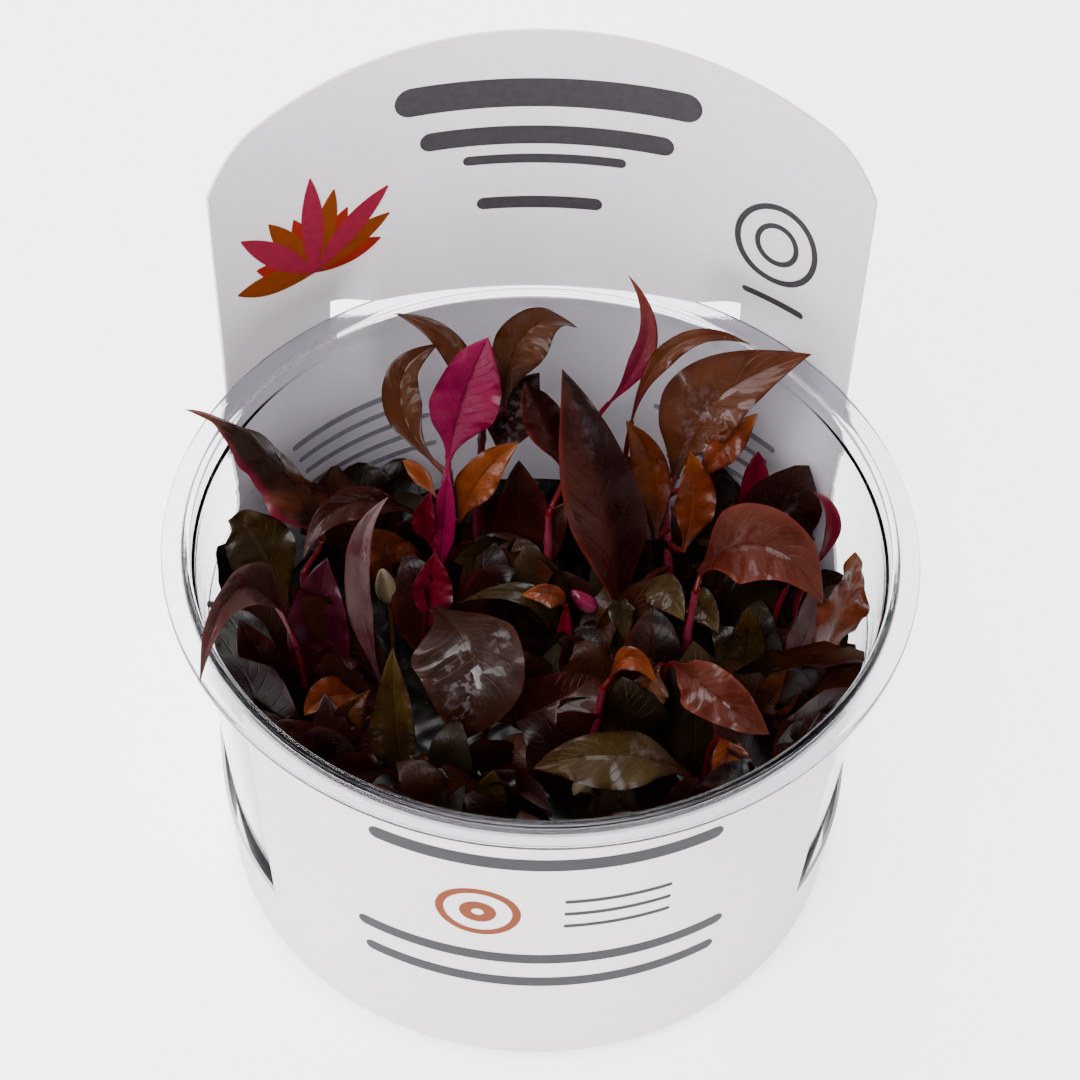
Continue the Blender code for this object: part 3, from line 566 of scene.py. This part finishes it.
looks = {
    "magenta": ((164, 6, 70), (138, 3, 60), (172, 8, 82), (200, 28, 104), (140, 3, 56), (118, 3, 46), (154, 6, 72)),
    "crimson": ((140, 6, 34), (100, 2, 24), (138, 6, 40), (146, 14, 48), (88, 2, 22), (134, 20, 46), (126, 4, 40)),
    "umber": ((120, 8, 28), (44, 24, 18), (54, 32, 24), (152, 72, 36), (172, 34, 70), (74, 38, 28), (160, 18, 54)),
    "brown": ((112, 12, 18), (76, 30, 13), (104, 54, 23), (98, 46, 18), (60, 26, 12), (114, 64, 32), (92, 32, 14)),
    "amber": ((112, 16, 16), (92, 28, 10), (144, 58, 16), (184, 92, 26), (100, 32, 12), (150, 76, 30), (128, 38, 14)),
    "rosy": ((150, 6, 46), (156, 10, 64), (158, 36, 68), (154, 92, 40), (112, 6, 44), (166, 56, 86), (144, 12, 62)),
    "rust": ((110, 6, 22), (106, 6, 20), (120, 60, 34), (128, 80, 24), (94, 8, 16), (146, 92, 66), (104, 8, 24)),
    "copper": ((112, 24, 12), (82, 42, 22), (116, 58, 29), (124, 58, 30), (92, 34, 18), (112, 54, 28), (104, 42, 20)),
    "salmon": ((120, 8, 20), (84, 22, 13), (108, 44, 28), (124, 56, 38), (134, 56, 44), (98, 36, 25), (126, 8, 26)),
    "wet": ((92, 8, 18), (48, 20, 12), (60, 31, 18), (56, 25, 14), (76, 36, 24), (68, 34, 22), (58, 10, 16)),
    "dusk": ((124, 8, 20), (52, 12, 8), (84, 26, 19), (96, 52, 36), (142, 44, 36), (82, 26, 18), (100, 8, 18)),
    "olive": ((98, 30, 14), (66, 32, 15), (78, 55, 23), (100, 78, 28), (62, 30, 14), (92, 70, 38), (74, 28, 17)),
    "moss": ((70, 12, 12), (44, 28, 8), (60, 42, 14), (86, 58, 18), (44, 20, 10), (78, 56, 24), (56, 24, 12)),
    "mauve": ((140, 8, 40), (112, 8, 34), (142, 104, 106), (166, 136, 134), (118, 62, 70), (160, 124, 124),
              (132, 30, 56)),
    "cream": ((116, 70, 46), (156, 122, 86), (204, 180, 142), (216, 198, 166), (126, 90, 62), (214, 190, 154),
              (156, 122, 86)),
    "taupe": ((118, 8, 30), (112, 8, 38), (88, 54, 46), (104, 70, 62), (124, 76, 70), (100, 62, 54), (146, 8, 48)),
    "plum": ((104, 4, 30), (58, 6, 24), (72, 12, 34), (92, 24, 44), (104, 10, 46), (90, 22, 44), (96, 6, 40)),
    "wine": ((104, 4, 14), (44, 8, 6), (62, 18, 10), (80, 32, 14), (90, 10, 16), (76, 24, 16), (86, 6, 16)),
}
leafShape = {"thick": 0.32, "rows": 46, "cols": 20, "stalk": 0.42, "wavy": 0.13, "waves": 2.3, "sharp": 1.9,
             "peak": 0.44, "veins": 40, "sweep": 9}


def leafFinish(name):
    stalk, root, blade, tip, edge, rib, under = (pigment(*colour) for colour in looks[name])
    leaf = Finish("leaf_" + name)
    along, across, below = leaf.stored("along"), leaf.stored("across"), leaf.stored("under")
    isStalk, tone, wet = leaf.stored("stalk"), leaf.stored("tone"), leaf.stored("wet")
    side = across.size()
    midrib = side.climb(0.08, 0.02)
    # side veins run out and forward from the midrib: stripes of veins * along - sweep * |across|
    stripes = along * leafShape["veins"] - side * leafShape["sweep"]
    vein = stripes.wave().size().climb(0.3, 0.0) * side.climb(1.0, 0.5) * along.climb(0.04, 0.2)
    blotch, cloud = leaf.noise(210, 4), leaf.noise(90, 3)
    crinkle = leaf.noise(850, 4)
    rim = (across * -1).climb(0.55, 1.05) if name == "umber" else side.climb(0.74, 1.0)
    # painted shade: on the dusk look one side of the blade, by its across mark, is mixed towards a third of the root
    # colour
    paintedShadeHalf = [(across.climb(-0.15, 0.35) * 0.85, shaded(root, 0.3))] if name == "dusk" else []
    # wet places: a painted sheen, pale grey-lilac on the crests of a fine crinkle, beside the real gloss of lower
    # roughness and more coat
    paintedSheen = wet * crinkle.climb(0.5, 0.62)
    # the shade-and-tone mark mixes in a darker copy of the root colour: partly a leaf's darker tone, partly painted
    # shade of the cup's dark depths
    colour = root
    for share, tint in ((along.climb(0.0, 0.4), blade), (along.climb(0.72, 1.0), tip),
                        (cloud.climb(0.45, 0.62) * 0.5, tip), (blotch.climb(0.45, 0.7) * 0.6, root),
                        (rim * (0.3 + blotch * 0.9), edge), *paintedShadeHalf, (vein * 0.22, rib), (midrib * 0.7, rib),
                        (below * 0.9, under), (tone * 0.75, shaded(root, 0.22)),
                        (paintedSheen * 0.4, (0.15, 0.12, 0.135)), (isStalk, stalk)):
        colour = leaf.mix(share, colour, tint)
    relief = leaf.noise(420, 3) * 0.5 + crinkle * (0.2 + wet * 0.9) - midrib * 0.5 - vein * 0.35
    return leaf.surface(Base_Color=colour, Roughness=0.44 - blotch.climb(0.4, 0.65) * 0.2 - wet * 0.16 + tone * 0.1,
                        Coat_Weight=(0.08 + wet * 0.6) * (1 - tone * 0.8), Coat_Roughness=0.07, Specular_IOR_Level=0.09,
                        Normal=leaf.bump(relief, 0.5, 0.0004))


leafFinishes = {name: leafFinish(name) for name in looks}
facing = np.array([0.0, -0.66, 0.75])


def bladeShell(base, middle, tip, width, fold, roll=0, wavy=leafShape["wavy"], twist=0.0, seed=0, tone=0.0,
               sharp=leafShape["sharp"], peak=leafShape["peak"], hook=(0, 0, 0), wet=(),
               rows=leafShape["rows"], cols=leafShape["cols"]):
    # Midrib: a quadratic curve through the middle point, its end drawn off by hook * x^2.
    # Half width: a stalk that widens by an S-ramp to the peak, then 1 - x^sharp to the tip, a little lopsided.
    # Lift: V fold with a soft keel, a wavy edge and a slight quilting between the veins.
    base, middle, tip = (np.array(p, float) for p in (base, middle, tip))
    bend = middle * 2 - (base + tip) / 2
    s = np.linspace(0, 1, rows)[:, None]
    s = s * 0.6 + (1 - np.cos(np.pi * s)) / 2 * 0.4
    centre = curve(base, bend, tip, s) + np.array(hook, float) * (np.clip((s - 0.72) / 0.28, 0, 1) ** 2)
    along = unit(np.gradient(centre, axis=0))
    chord = unit(tip - base)
    across = turnAbout(unit(np.cross(chord, facing)), chord, np.radians(roll))
    across = unit(across - along * (along * across).sum(-1, keepdims=True))
    across = turnAbout(across, along, np.radians(twist) * s**1.5)
    up = unit(np.cross(across, along))
    stalk = 0.12 + 0.88 * ease(s / peak)
    taper = 1 - (np.clip(s - peak, 0, 1) / (1.003 - peak)) ** sharp
    half = width / 2 * np.maximum(stalk * taper, 0.012)
    t = np.sin(np.linspace(-1, 1, cols + 1) * np.pi / 2)[None]
    lopsided = 1 + 0.14 * np.sin(seed * 2.3 + 1) * t
    lopsided = lopsided + 0.05 * np.abs(t) * np.sin(9 * s + seed * 1.7 + 2 * np.sign(t))
    fold = np.radians(fold)
    keel = np.sqrt(t**2 + 0.02) - np.sqrt(0.02)
    waves = 2 * np.pi * (leafShape["waves"] * s + 0.37 * seed + 0.22 * np.sign(t))
    edge = wavy * np.abs(t) ** 1.6 * (np.sin(waves) + 0.35 * np.sin(2.7 * waves + seed))
    edge = edge * ease(s / 0.25) * ease((1.02 - s) / 0.2)
    quilt = 0.022 * np.sin(leafShape["veins"] * s - leafShape["sweep"] * np.abs(t)) * np.abs(t) * (1 - np.abs(t)) * 4
    lift = half * (keel * np.sin(fold) + edge + quilt)
    spread = half * lopsided * t * np.cos(fold)
    spine = centre[:, None] + across[:, None] * spread[..., None] + up[:, None] * lift[..., None]
    body = np.maximum(leafShape["thick"], 0.85 * (1 - s / 0.18)) * np.minimum(1, half / 0.5)
    depth = body / 2 * (1 - np.abs(t) ** 6)
    ridge = 0.2 * np.exp(-((t * half / 0.35) ** 2)) * ease((1 - s) / 0.3) * ease(half / 1.2)
    topSide = spine + up[:, None] * (depth - ridge * 0.8)[..., None]
    lowSide = spine - up[:, None] * (depth + ridge)[..., None]
    rings = np.concatenate([topSide, lowSide[:, -2:0:-1]], axis=1)
    acrossMark = np.concatenate([t[0], t[0, -2:0:-1]])[None]
    underMark = np.concatenate([np.zeros(cols + 1), np.ones(cols - 1)])[None]
    # the wet mark lowers roughness and strengthens the coat, and also sets where a pale sheen is painted into the
    # colour
    wetMark = np.zeros((rows, 2 * cols))
    for spot in np.atleast_2d(wet) if len(wet) else ():
        # each wet place: along, across, its reach along and across and its strength, as a bell curve
        place = ((s - spot[0]) / spot[2]) ** 2 + ((acrossMark - spot[1]) / spot[3]) ** 2
        wetMark = np.maximum(wetMark, spot[4] * np.exp(-place))
    wetMark = wetMark * (1 - underMark)
    made = shell(rings, along=s, across=acrossMark, under=underMark, stalk=0.0, tone=tone, wet=wetMark)
    return made, base, along[0]


stems = {
    "stem_main": ((-14, 12, 24.4), (-13.6, 13, 36), (-13, 15.6, 54)),
    "stem_left": ((-31, 6.5, 24.4), (-32, 5.7, 33), (-32.4, 6.3, 42)),
    "stem_back": ((-9, 21, 24.4), (-9, 22, 36), (-8.6, 24, 54)),
    "stem_mauve": ((1.5, 10, 24.4), (1.2, 10.5, 36), (1, 13.5, 48)),
    "stem_right": ((20, 12, 24.4), (18.2, 15, 36), (17.4, 18.5, 47)),
    "stem_right_front": ((21, 2.5, 24.4), (20.5, 2, 32), (21.4, 4.2, 43.5)),
    "stem_front": ((8, -14, 24.4), (8.2, -12.8, 33), (9, -11, 41)),
}
stemShape = {"radius": 0.78, "top": 0.5, "rooted": 0.9, "joint": 8.0, "main": 1.3, "near": 9.0, "rows": 40}


def stemLine(points):
    start, middle, end = (np.array(p, float) for p in points)
    bend = middle * 2 - (start + end) / 2
    return curve(start, bend, end, np.linspace(0, 1, stemShape["rows"])[:, None])


stemLines = {name: stemLine(points) for name, points in stems.items()}
stemFinish = Finish("stem")
streak = stemFinish.noise(500, 3, (1, 1, 0.12))
pinkStem = stemFinish.surface(
    Base_Color=stemFinish.mix(streak.climb(0.35, 0.7), pigment(116, 8, 36), pigment(170, 44, 78)),
    Roughness=0.34 + streak * 0.1, Coat_Weight=0.25, Coat_Roughness=0.15, Normal=stemFinish.bump(streak, 0.3, 0.0002))
for name, line in stemLines.items():
    line = np.vstack([line[0] - [0, 0, stemShape["rooted"]], line])
    share = np.linspace(0, 1, len(line))
    joint = np.exp(-(((line[:, 2] - 24) % stemShape["joint"] - stemShape["joint"] / 2) / 0.7) ** 2)
    radius = stemShape["radius"] + (stemShape["top"] - stemShape["radius"]) * share + 0.16 * joint
    radius = radius * (stemShape["main"] if name == "stem_main" else 1.0)
    piece(name.replace("stem", "stalk"), [tube(line, radius[:, None], 14)], pinkStem, (name,))
print("stems made")


def footFor(base, along):
    # the nearest lower point of a stem within reach, or else the gel below
    best, where = stemShape["near"], np.array([base[0] - along[0] * 3, base[1] - along[1] * 3, gel["top"] - 1.2])
    for line in stemLines.values():
        lower = line[line[:, 2] < base[2] - 0.5]
        if len(lower):
            gap = np.linalg.norm(lower - base, axis=1) + 0.3 * np.abs(lower[:, 2] - base[2] + 4)
            if gap.min() < best:
                best, where = gap.min(), lower[gap.argmin()]
    return where


def stalkShell(base, along, tone):
    # Hermite curve from the foot to the leaf's root, leaving upright and arriving along the midrib
    foot = footFor(base, along)
    reach = np.linalg.norm(base - foot)
    s = np.linspace(0, 1, 16)[:, None]
    leave, arrive = np.array([0, 0, 1.0]) * reach * 0.8, along * reach * 0.9
    line = (foot * (2 * s**3 - 3 * s**2 + 1) + leave * (s**3 - 2 * s**2 + s)
            + (base + along * 0.5) * (3 * s**2 - 2 * s**3) + arrive * (s**3 - s**2))
    radius = leafShape["stalk"] * (1.15 - 0.3 * s)
    return tube(line, radius, 8, along=0.0, across=1.0, under=0.0, stalk=1.0, tone=tone, wet=0.0)


# Each leaf, named as its node without "leaf_": look, base, middle, tip, width, fold, then any other choices
leaves = {
    "far_left": ("umber", (-30, 11, 44), (-36.5, 12, 58), (-48, 15, 68), 10, 30,
                 {"roll": -20, "twist": -35, "hook": (0, -1.5, -1.5), "sharp": 1.3, "peak": 0.34, "wavy": 0.2}),
    "left_wall": ("moss", (-34.5, 3, 38), (-38.6, 7, 47.4), (-43, 8.6, 51.5), 10, 20, {"hook": (0.5, -1, -0.5)}),
    "left_pale": ("mauve", (-39.5, 3, 37), (-41, 6.5, 42.5), (-41.5, 10, 47), 6, 10, {"roll": -40, "tone": 0.3}),
    "left_arch": ("taupe", (-32, -9, 45), (-37.5, -14, 63), (-42.5, -26, 61.5), 6.5, 30,
                  {"hook": (0, -0.5, -3), "sharp": 1.5}),
    "red_arch": ("wine", (-17, 13.5, 47), (-26, 9, 54), (-32, 3, 51), 5, 25,
                 {"hook": (0, 0, -2), "wet": (0.9, 0, 0.15, 0.7, 0.4)}),
    "pink_grey": ("mauve", (-21, -1, 26), (-24.5, 3, 45), (-21.5, 5, 60), 4.5, 25, {"roll": -20, "hook": (1, 0, 0)}),
    "orange_broad": ("amber", (-18, 12.5, 26), (-20.5, 14, 36), (-23.5, 15, 42), 8, 15,
                     {"tone": 0.45, "wet": (0.6, 0.3, 0.15, 0.5, 0.4)}),
    "purple": ("plum", (-26, -5, 25), (-29.5, 1, 37), (-29, 6, 46), 9, 20, {}),
    "main_magenta": ("magenta", (-13, 16.6, 55.5), (-11, 19.5, 65), (-8, 21.5, 74), 9.5, 18,
                     {"wavy": 0.1, "sharp": 2.6, "peak": 0.42}),
    "main_brown": ("brown", (-15, 17.5, 53.5), (-20, 25, 58), (-17, 31, 63), 6, 25,
                   {"hook": (2, 0, 0), "sharp": 2.4, "wet": (0.8, -0.3, 0.06, 0.5, 0.4)}),
    "back_narrow": ("brown", (-11.5, 24.5, 56), (-12.5, 27, 66), (-21, 30, 69.5), 4, 20,
                    {"wet": (0.5, 0.3, 0.16, 0.3, 0.4)}),
    "back_curled": ("brown", (-5.5, 25.5, 56.5), (-3.5, 29, 66.5), (3, 33, 67), 8, 25, {"hook": (1, 0, -2)}),
    "main_orange": ("amber", (-11.2, 13.5, 46), (-8.5, 16, 52.5), (-3.5, 18.5, 57), 6, 25,
                    {"wet": (0.7, 0.6, 0.2, 0.3, 0.4), "wavy": 0.2}),
    "main_folded": ("crimson", (-15, 11.5, 43), (-16, 12.5, 48), (-15.2, 13, 52.5), 4.4, 40, {}),
    "main_crimson": ("crimson", (-15, 5.5, 33), (-15, 7.5, 38.5), (-14.5, 9.5, 44), 6.5, 25, {"tone": 0.2}),
    "back_wet": ("wine", (-6, 26, 45), (-4, 29, 52), (-1, 31, 58), 8, 20, {"wet": (0.55, 0, 0.4, 0.8, 0.8)}),
    "back_salmon": ("dusk", (3, 21, 49), (-0.5, 23.5, 57), (-3, 24.2, 63), 6, 20, {}),
    "centre_big": ("dusk", (11.5, 6, 36), (7.5, 13, 53), (2, 22, 68), 12, 25,
                   {"wavy": 0.07, "sharp": 1.7, "wet": (0.8, 0.1, 0.12, 0.3, 0.3)}),
    "centre_right": ("amber", (16, 13.5, 44), (15, 19, 52), (11, 20.5, 60), 6, 25,
                     {"tone": 0.5, "wet": (0.5, 0.5, 0.2, 0.3, 0.4)}),
    "back_thin": ("rosy", (8.5, 29, 54), (13.5, 31.5, 65), (10.5, 35, 73.5), 3.5, 20, {"sharp": 1.3, "peak": 0.35}),
    "back_arched": ("rust", (12, 26.5, 53), (17, 29, 65.5), (27, 32, 65), 3.2, 20, {"wavy": 0.3, "hook": (1, 0, -1)}),
    "right_big": ("copper", (18.5, 21, 48.5), (23, 25, 59.5), (36, 29, 65.5), 12, 18,
                  {"sharp": 1.5, "wet": (0.42, 0.3, 0.17, 0.6, 0.85)}),
    "right_orange": ("amber", (19.8, 13, 42), (20.8, 16.5, 49), (20, 19, 56), 6, 20, {"wavy": 0.2, "tone": 0.2}),
    "right_crimson": ("crimson", (29, 22.5, 35), (30, 24, 43), (30, 26, 49), 4.6, 25, {"sharp": 2.8}),
    "right_salmon": ("salmon", (22, 6, 45.5), (29, 4, 54), (38, -1, 51), 12, 22,
                     {"hook": (0, -0.5, -2), "wavy": 0.08, "wet": (0.45, -0.3, 0.25, 0.3, 0.2)}),
    "star_front": ("olive", (14.5, 9.5, 39), (17.5, 6, 41.5), (20, 2, 40), 5.5, 20, {}),
    "star_right": ("olive", (20.5, 8.5, 35), (22.5, 6.5, 37.5), (25, 3, 36.5), 5, 20, {"tone": 0.2}),
    "olive_arm": ("moss", (3, 5, 25.5), (-0.5, 2.5, 43), (-11, 5.5, 38), 3.6, 20, {}),
    "front_wet": ("wet", (-14, 0, 43), (-8.5, -11, 45.5), (-10, -17, 36), 15.5, 15,
                  {"wavy": 0.05, "sharp": 2.2, "wet": ((0.66, 0.25, 0.22, 0.4, 1.0), (0.45, -0.6, 0.1, 0.22, 0.6))}),
    "front_upright": ("olive", (-17, -16, 25), (-18.5, -15.5, 37), (-19, -12.5, 50), 6.8, 25,
                      {"wavy": 0.18, "wet": ((0.55, 0.8, 0.2, 0.25, 0.6), (0.5, -0.8, 0.16, 0.25, 0.6))}),
    "left_orange": ("amber", (-24, -8.5, 34), (-28, -11, 37), (-31, -13.5, 36), 5, 20, {"tone": 0.15}),
    "front_amber": ("olive", (-6.2, -24.5, 25), (-5.7, -25.5, 34), (-5.2, -26, 42), 5.5, 15, {"sharp": 2.6}),
    "front_olive": ("olive", (20, -23.5, 39.5), (10.5, -24.5, 44), (0, -24, 40), 8.5, 20,
                    {"wavy": 0.16, "wet": (0.35, 0.3, 0.2, 0.4, 0.4), "tone": 0.15}),
    "orange_curl": ("amber", (9.8, -10.5, 42), (12.5, -9.5, 46), (16, -11.5, 43), 3.5, 20, {"wavy": 0.0}),
    "brown_hang": ("brown", (16.5, -5.5, 39), (15, -9, 37.5), (14, -11, 33), 5.5, 20,
                   {"wet": (0.8, 0, 0.1, 0.6, 0.4)}),
    "red_front": ("salmon", (18.5, -8, 43), (23.5, -15.5, 46), (31, -18.5, 42), 8, 25,
                  {"wet": (0.7, 0.4, 0.15, 0.4, 0.4), "wavy": 0.2}),
    "amber_right": ("amber", (27.5, -16, 36), (26, -19, 37.5), (24.5, -21.5, 34), 4.5, 20,
                    {"wavy": 0.0, "tone": 0.2}),
    "right_wall": ("amber", (36, -4, 28), (40.7, 0, 44), (42.4, 5.3, 52), 6.5, 15,
                   {"roll": 30, "tone": 0.45, "wavy": 0.4, "sharp": 3.0, "wet": (0.8, 0.2, 0.2, 0.6, 0.6)}),
    "right_grey": ("mauve", (34, 1, 29), (37.5, 3, 38.5), (37.5, 5, 46), 6, 20, {"tone": 0.55}),
    "right_brown": ("brown", (30, -6.5, 30), (33, -7.5, 37.5), (35.5, -7.5, 43), 6, 20,
                    {"wet": (0.3, 0.5, 0.2, 0.3, 0.4)}),
    "olive_glint": ("moss", (28, -0.5, 28), (29, 0, 37), (28.5, 1.5, 44), 6, 20,
                    {"wet": (0.6, -0.4, 0.15, 0.3, 0.4)}),
    "wine_low": ("wine", (-5, -8, 30), (2.5, -9.5, 35.5), (9.5, -4, 37.5), 10, 15, {}),
    "dark_left": ("wine", (-31.5, -4, 28), (-36.5, -6.5, 38.5), (-40, -5.5, 46), 7, 20, {}),
}


def dress(name, node, shells, look):
    # a piece that stands for one CAD node of the plants
    piece(name, shells, leafFinishes[look], (node,))


for number, (name, (look, base, middle, tip, width, fold, extra)) in enumerate(leaves.items()):
    blade, root, heading = bladeShell(base, middle, tip, width, fold, seed=number, **extra)
    stalk = stalkShell(root, heading, extra.get("tone", 0.0))
    dress("blade_" + name, "leaf_" + name, [blade, stalk], look)
print("leaves made:", len(leaves))

# Low tufts of dark blades: foot, then heading, reach, height and width of each blade
tufts = {
    "back": ((-3, 18), ((95, 5, 24, 8), (200, 9, 15, 7), (275, 6, 11, 7), (30, 8, 17, 6), (140, 7, 20, 6))),
    "right": ((32, 14), ((75, 9, 17, 7), (0, 6, 20, 6), (130, 8, 14, 7), (290, 8, 10, 6), (210, 9, 13, 6))),
    "left": ((-26, -18), ((165, 9, 13, 7), (215, 10, 8, 7), (290, 8, 9, 6), (50, 8, 11, 6), (110, 7, 14, 6))),
    "front": ((-9, -22), ((110, 7, 9, 6), (215, 8, 8, 6), (25, 9, 7, 6), (320, 9, 8, 5), (160, 8, 11, 6))),
}
for name, (foot, blades) in tufts.items():
    foot = np.array([*foot, gel["top"] + 0.6])
    made = []
    for number, (heading, reach, height, width) in enumerate(blades):
        tip = np.array([reach * np.cos(np.radians(heading)), reach * np.sin(np.radians(heading)), height])
        middle = foot + tip * (0.4, 0.4, 0.62)
        made.append(bladeShell(foot, middle, foot + tip, width, 15, seed=number, tone=0.3 * (number % 3),
                               rows=26, cols=12)[0])
    dress("tuft_" + name, "shoot_" + name, made, "wine")
print("tufts made")

# Small leaves too fine for the solids: look, base, middle, tip, width, then any other choices
smallLeaves = {
    "ragged": ("amber", (21, 18.5, 50), (25, 21, 55.5), (29, 22.8, 60), 4.5,
               {"wavy": 0.35, "wet": (0.3, 0.3, 0.2, 0.4, 0.4)}),
    "star_down": ("moss", (12, 7, 39), (11.5, 5.2, 38), (12.5, 2.6, 34.5), 4.0, {}),
    "orange_left": ("amber", (-14.5, 15, 49), (-17, 18, 50.5), (-19.5, 20, 51), 2.6, {}),
    "red_left": ("brown", (-24, -12, 33), (-25, -14.5, 38), (-22, -15, 44), 4.5, {}),
    "dull_red": ("wine", (-20, -17, 29), (-25, -20, 32), (-29, -22, 32.5), 7, {}),
    "curl_right": ("crimson", (37.5, 10, 42), (40, 13, 49), (37, 16, 52), 2.4, {"tone": 0.35}),
    "curl_low": ("crimson", (34, 8, 40), (36.5, 10, 44), (38, 9, 45), 2.2, {"tone": 0.35}),
    "arm_tip": ("amber", (3.8, 2.5, 41.5), (1.5, 2.3, 44.5), (-2.5, 2.6, 43.5), 3.4,
                {"wet": (0.5, 0, 0.3, 0.6, 0.4)}),
    "main_sheath": ("magenta", (-13.9, 11.6, 37), (-13.6, 12.6, 45.5), (-12.9, 14.9, 55), 3.4,
                    {"sharp": 3.0, "wavy": 0.05}),
    "arm_stalk": ("crimson", (4.2, -1.2, 30), (3.7, 0.8, 35.5), (3.8, 2.6, 41.8), 2.4, {"sharp": 3.0, "wavy": 0.05}),
    "folded_red": ("salmon", (25.5, -17, 38), (26.5, -19.5, 37), (25.5, -22, 33.5), 4.2,
                   {"wet": (0.6, 0.2, 0.3, 0.5, 0.4)}),
}
for number, (name, (look, base, middle, tip, width, extra)) in enumerate(smallLeaves.items()):
    blade, root, heading = bladeShell(base, middle, tip, width, 22, seed=number, rows=24, cols=12, **extra)
    piece("small_" + name, [blade, stalkShell(root, heading, 0.0)], leafFinishes[look])

# Dark undergrowth: seeded blades standing in the gel between the plants and lying against the wall, clear of the
# open spaces. Against the wall the blade is pressed flat: past the wall's radius only a tenth of the distance is kept.
# reach, height and width: least and most; shade and tone: least and change, a darker copy of the root colour that is
# partly painted shade of the deep cup; past: how far a blade may go past the wall
undergrowth = {"seed": 11, "foot": 23.0, "wet every": 12,
               "open": {"count": 210, "spread": 38.5, "reach": (3.0, 12.0), "height": (9.0, 21.0),
                        "width": (6.5, 11.0), "tone": (0.5, 0.5), "past": 0.0},
               "wall": {"count": 54, "spread": 37.5, "reach": (4.0, 9.0), "height": (14.0, 29.0),
                        "width": (8.0, 13.0), "tone": (0.7, 0.3), "past": 9.0, "step": 0.381966, "sway": 1.2}}
# x from, x to, y from, y to and lowest height of each space that is kept open
clearings = [(-18.45, 22.25, -39, 7.8, 49.8), (-17.5, 17.5, 31.4, 38.7, 0), (-35, -24.05, 12.1, 24, 0),
             (-31.4, -21.3, -30.55, 0.2, 39.45), (-18, -5.6, -14.55, 3.6, 0)]
lowLooks = ("wine", "moss", "brown", "dusk")
openCount = undergrowth["open"]["count"]
drawn = np.random.default_rng(undergrowth["seed"]).random((openCount + undergrowth["wall"]["count"], 8))
grown = {look: [] for look in lowLooks}
for number, draw in enumerate(drawn):
    atWall = number >= openCount
    kind = undergrowth["wall" if atWall else "open"]
    if atWall:
        spread, turn = kind["spread"], 2 * np.pi * (number * kind["step"])
        heading = turn + (draw[2] - 0.5) * kind["sway"]
    else:
        spread, turn, heading = kind["spread"] * np.sqrt(draw[0]), 2 * np.pi * draw[1], 2 * np.pi * draw[2]
    foot = np.array([spread * np.cos(turn), spread * np.sin(turn), undergrowth["foot"]])
    reach, height, width = (kind[size][0] + (kind[size][1] - kind[size][0]) * share
                            for size, share in zip(("reach", "height", "width"), draw[3:6]))
    if atWall and abs(np.sin(turn)) > 0.55:
        height *= 0.62
    tip = foot + np.array([reach * np.cos(heading), reach * np.sin(heading), height])
    middle = foot + (tip - foot) * (0.42, 0.42, 0.62)
    # painted shade: the shade-and-tone mark starts at 0.5 on open blades and at 0.7 on blades at the wall, darkening
    # them for the shade deep in the cup
    darkest, change = kind["tone"]
    droop = np.array([np.cos(heading), np.sin(heading), -1.1]) * 2.2 * draw[7]
    wet = (0.6, 0.2, 0.15, 0.3, 0.5) if number % undergrowth["wet every"] == 0 else ()
    made = bladeShell(foot, middle, tip, width, 16, 70 * (draw[6] - 0.5), seed=number, tone=darkest + change * draw[7],
                      rows=11, cols=4, sharp=2.3, wavy=0.18, hook=droop, wet=wet)[0]
    x, y, z = made["points"].T
    inside = any(((x > a) & (x < b) & (y > c) & (y < d) & (z > e)).any() for a, b, c, d, e in clearings)
    limit = wallRadius(z) - tub["wall"] - tub["step"] - 0.5
    past = np.hypot(x, y) - limit
    if inside or past.max() > kind["past"]:
        continue
    made["points"][:, :2] *= ((limit + np.minimum(past, 0.1 * past)) / (limit + past))[:, None]
    grown[lowLooks[number % 4]].append(made)
for look, made in grown.items():
    piece("undergrowth_" + look, made, leafFinishes[look])
print("small leaves made:", len(smallLeaves), "and undergrowth:", sum(map(len, grown.values())))

# Buds: closed spindles, wider below, with the seams of their wrapped scales
buds = {
    "bud_cream": ("cream", (-20.8, 7.5, 35.5), (-21.8, 8.2, 41.5), 3.2),
    "bud_pink": ("magenta", (8, 7.5, 35), (4.5, 8.5, 38), 2.6),
    "bud_light_brown": ("cream", (6.5, -20, 29.5), (7.5, -22, 35), 3.2),
}
seam = np.linspace(0, 2 * np.pi, 24, endpoint=False)[None]
share = np.linspace(0.01, 0.99, 26)[:, None]
for name, (look, low, high, width) in buds.items():
    low, high = np.array(low, float), np.array(high, float)
    swell = np.sqrt(1 - (2 * share - 1) ** 2) * (1 - 0.35 * (2 * share - 1)) * width / 2
    lobes = 1 - 0.09 * np.abs(np.sin(1.5 * seam + 2.5 * share)) ** 0.5
    tone = 0.35 if name == "bud_light_brown" else 0.0
    spindle = tube(low + (high - low) * share, swell * lobes, 24, (0.2, 1, 0.1), along=share, across=np.sin(seam),
                   under=0.0, stalk=0.0, tone=tone, wet=0.3)
    dress("closed_" + name, name, [spindle, stalkShell(low, unit(high - low), 0.0)], look)
print("buds made")
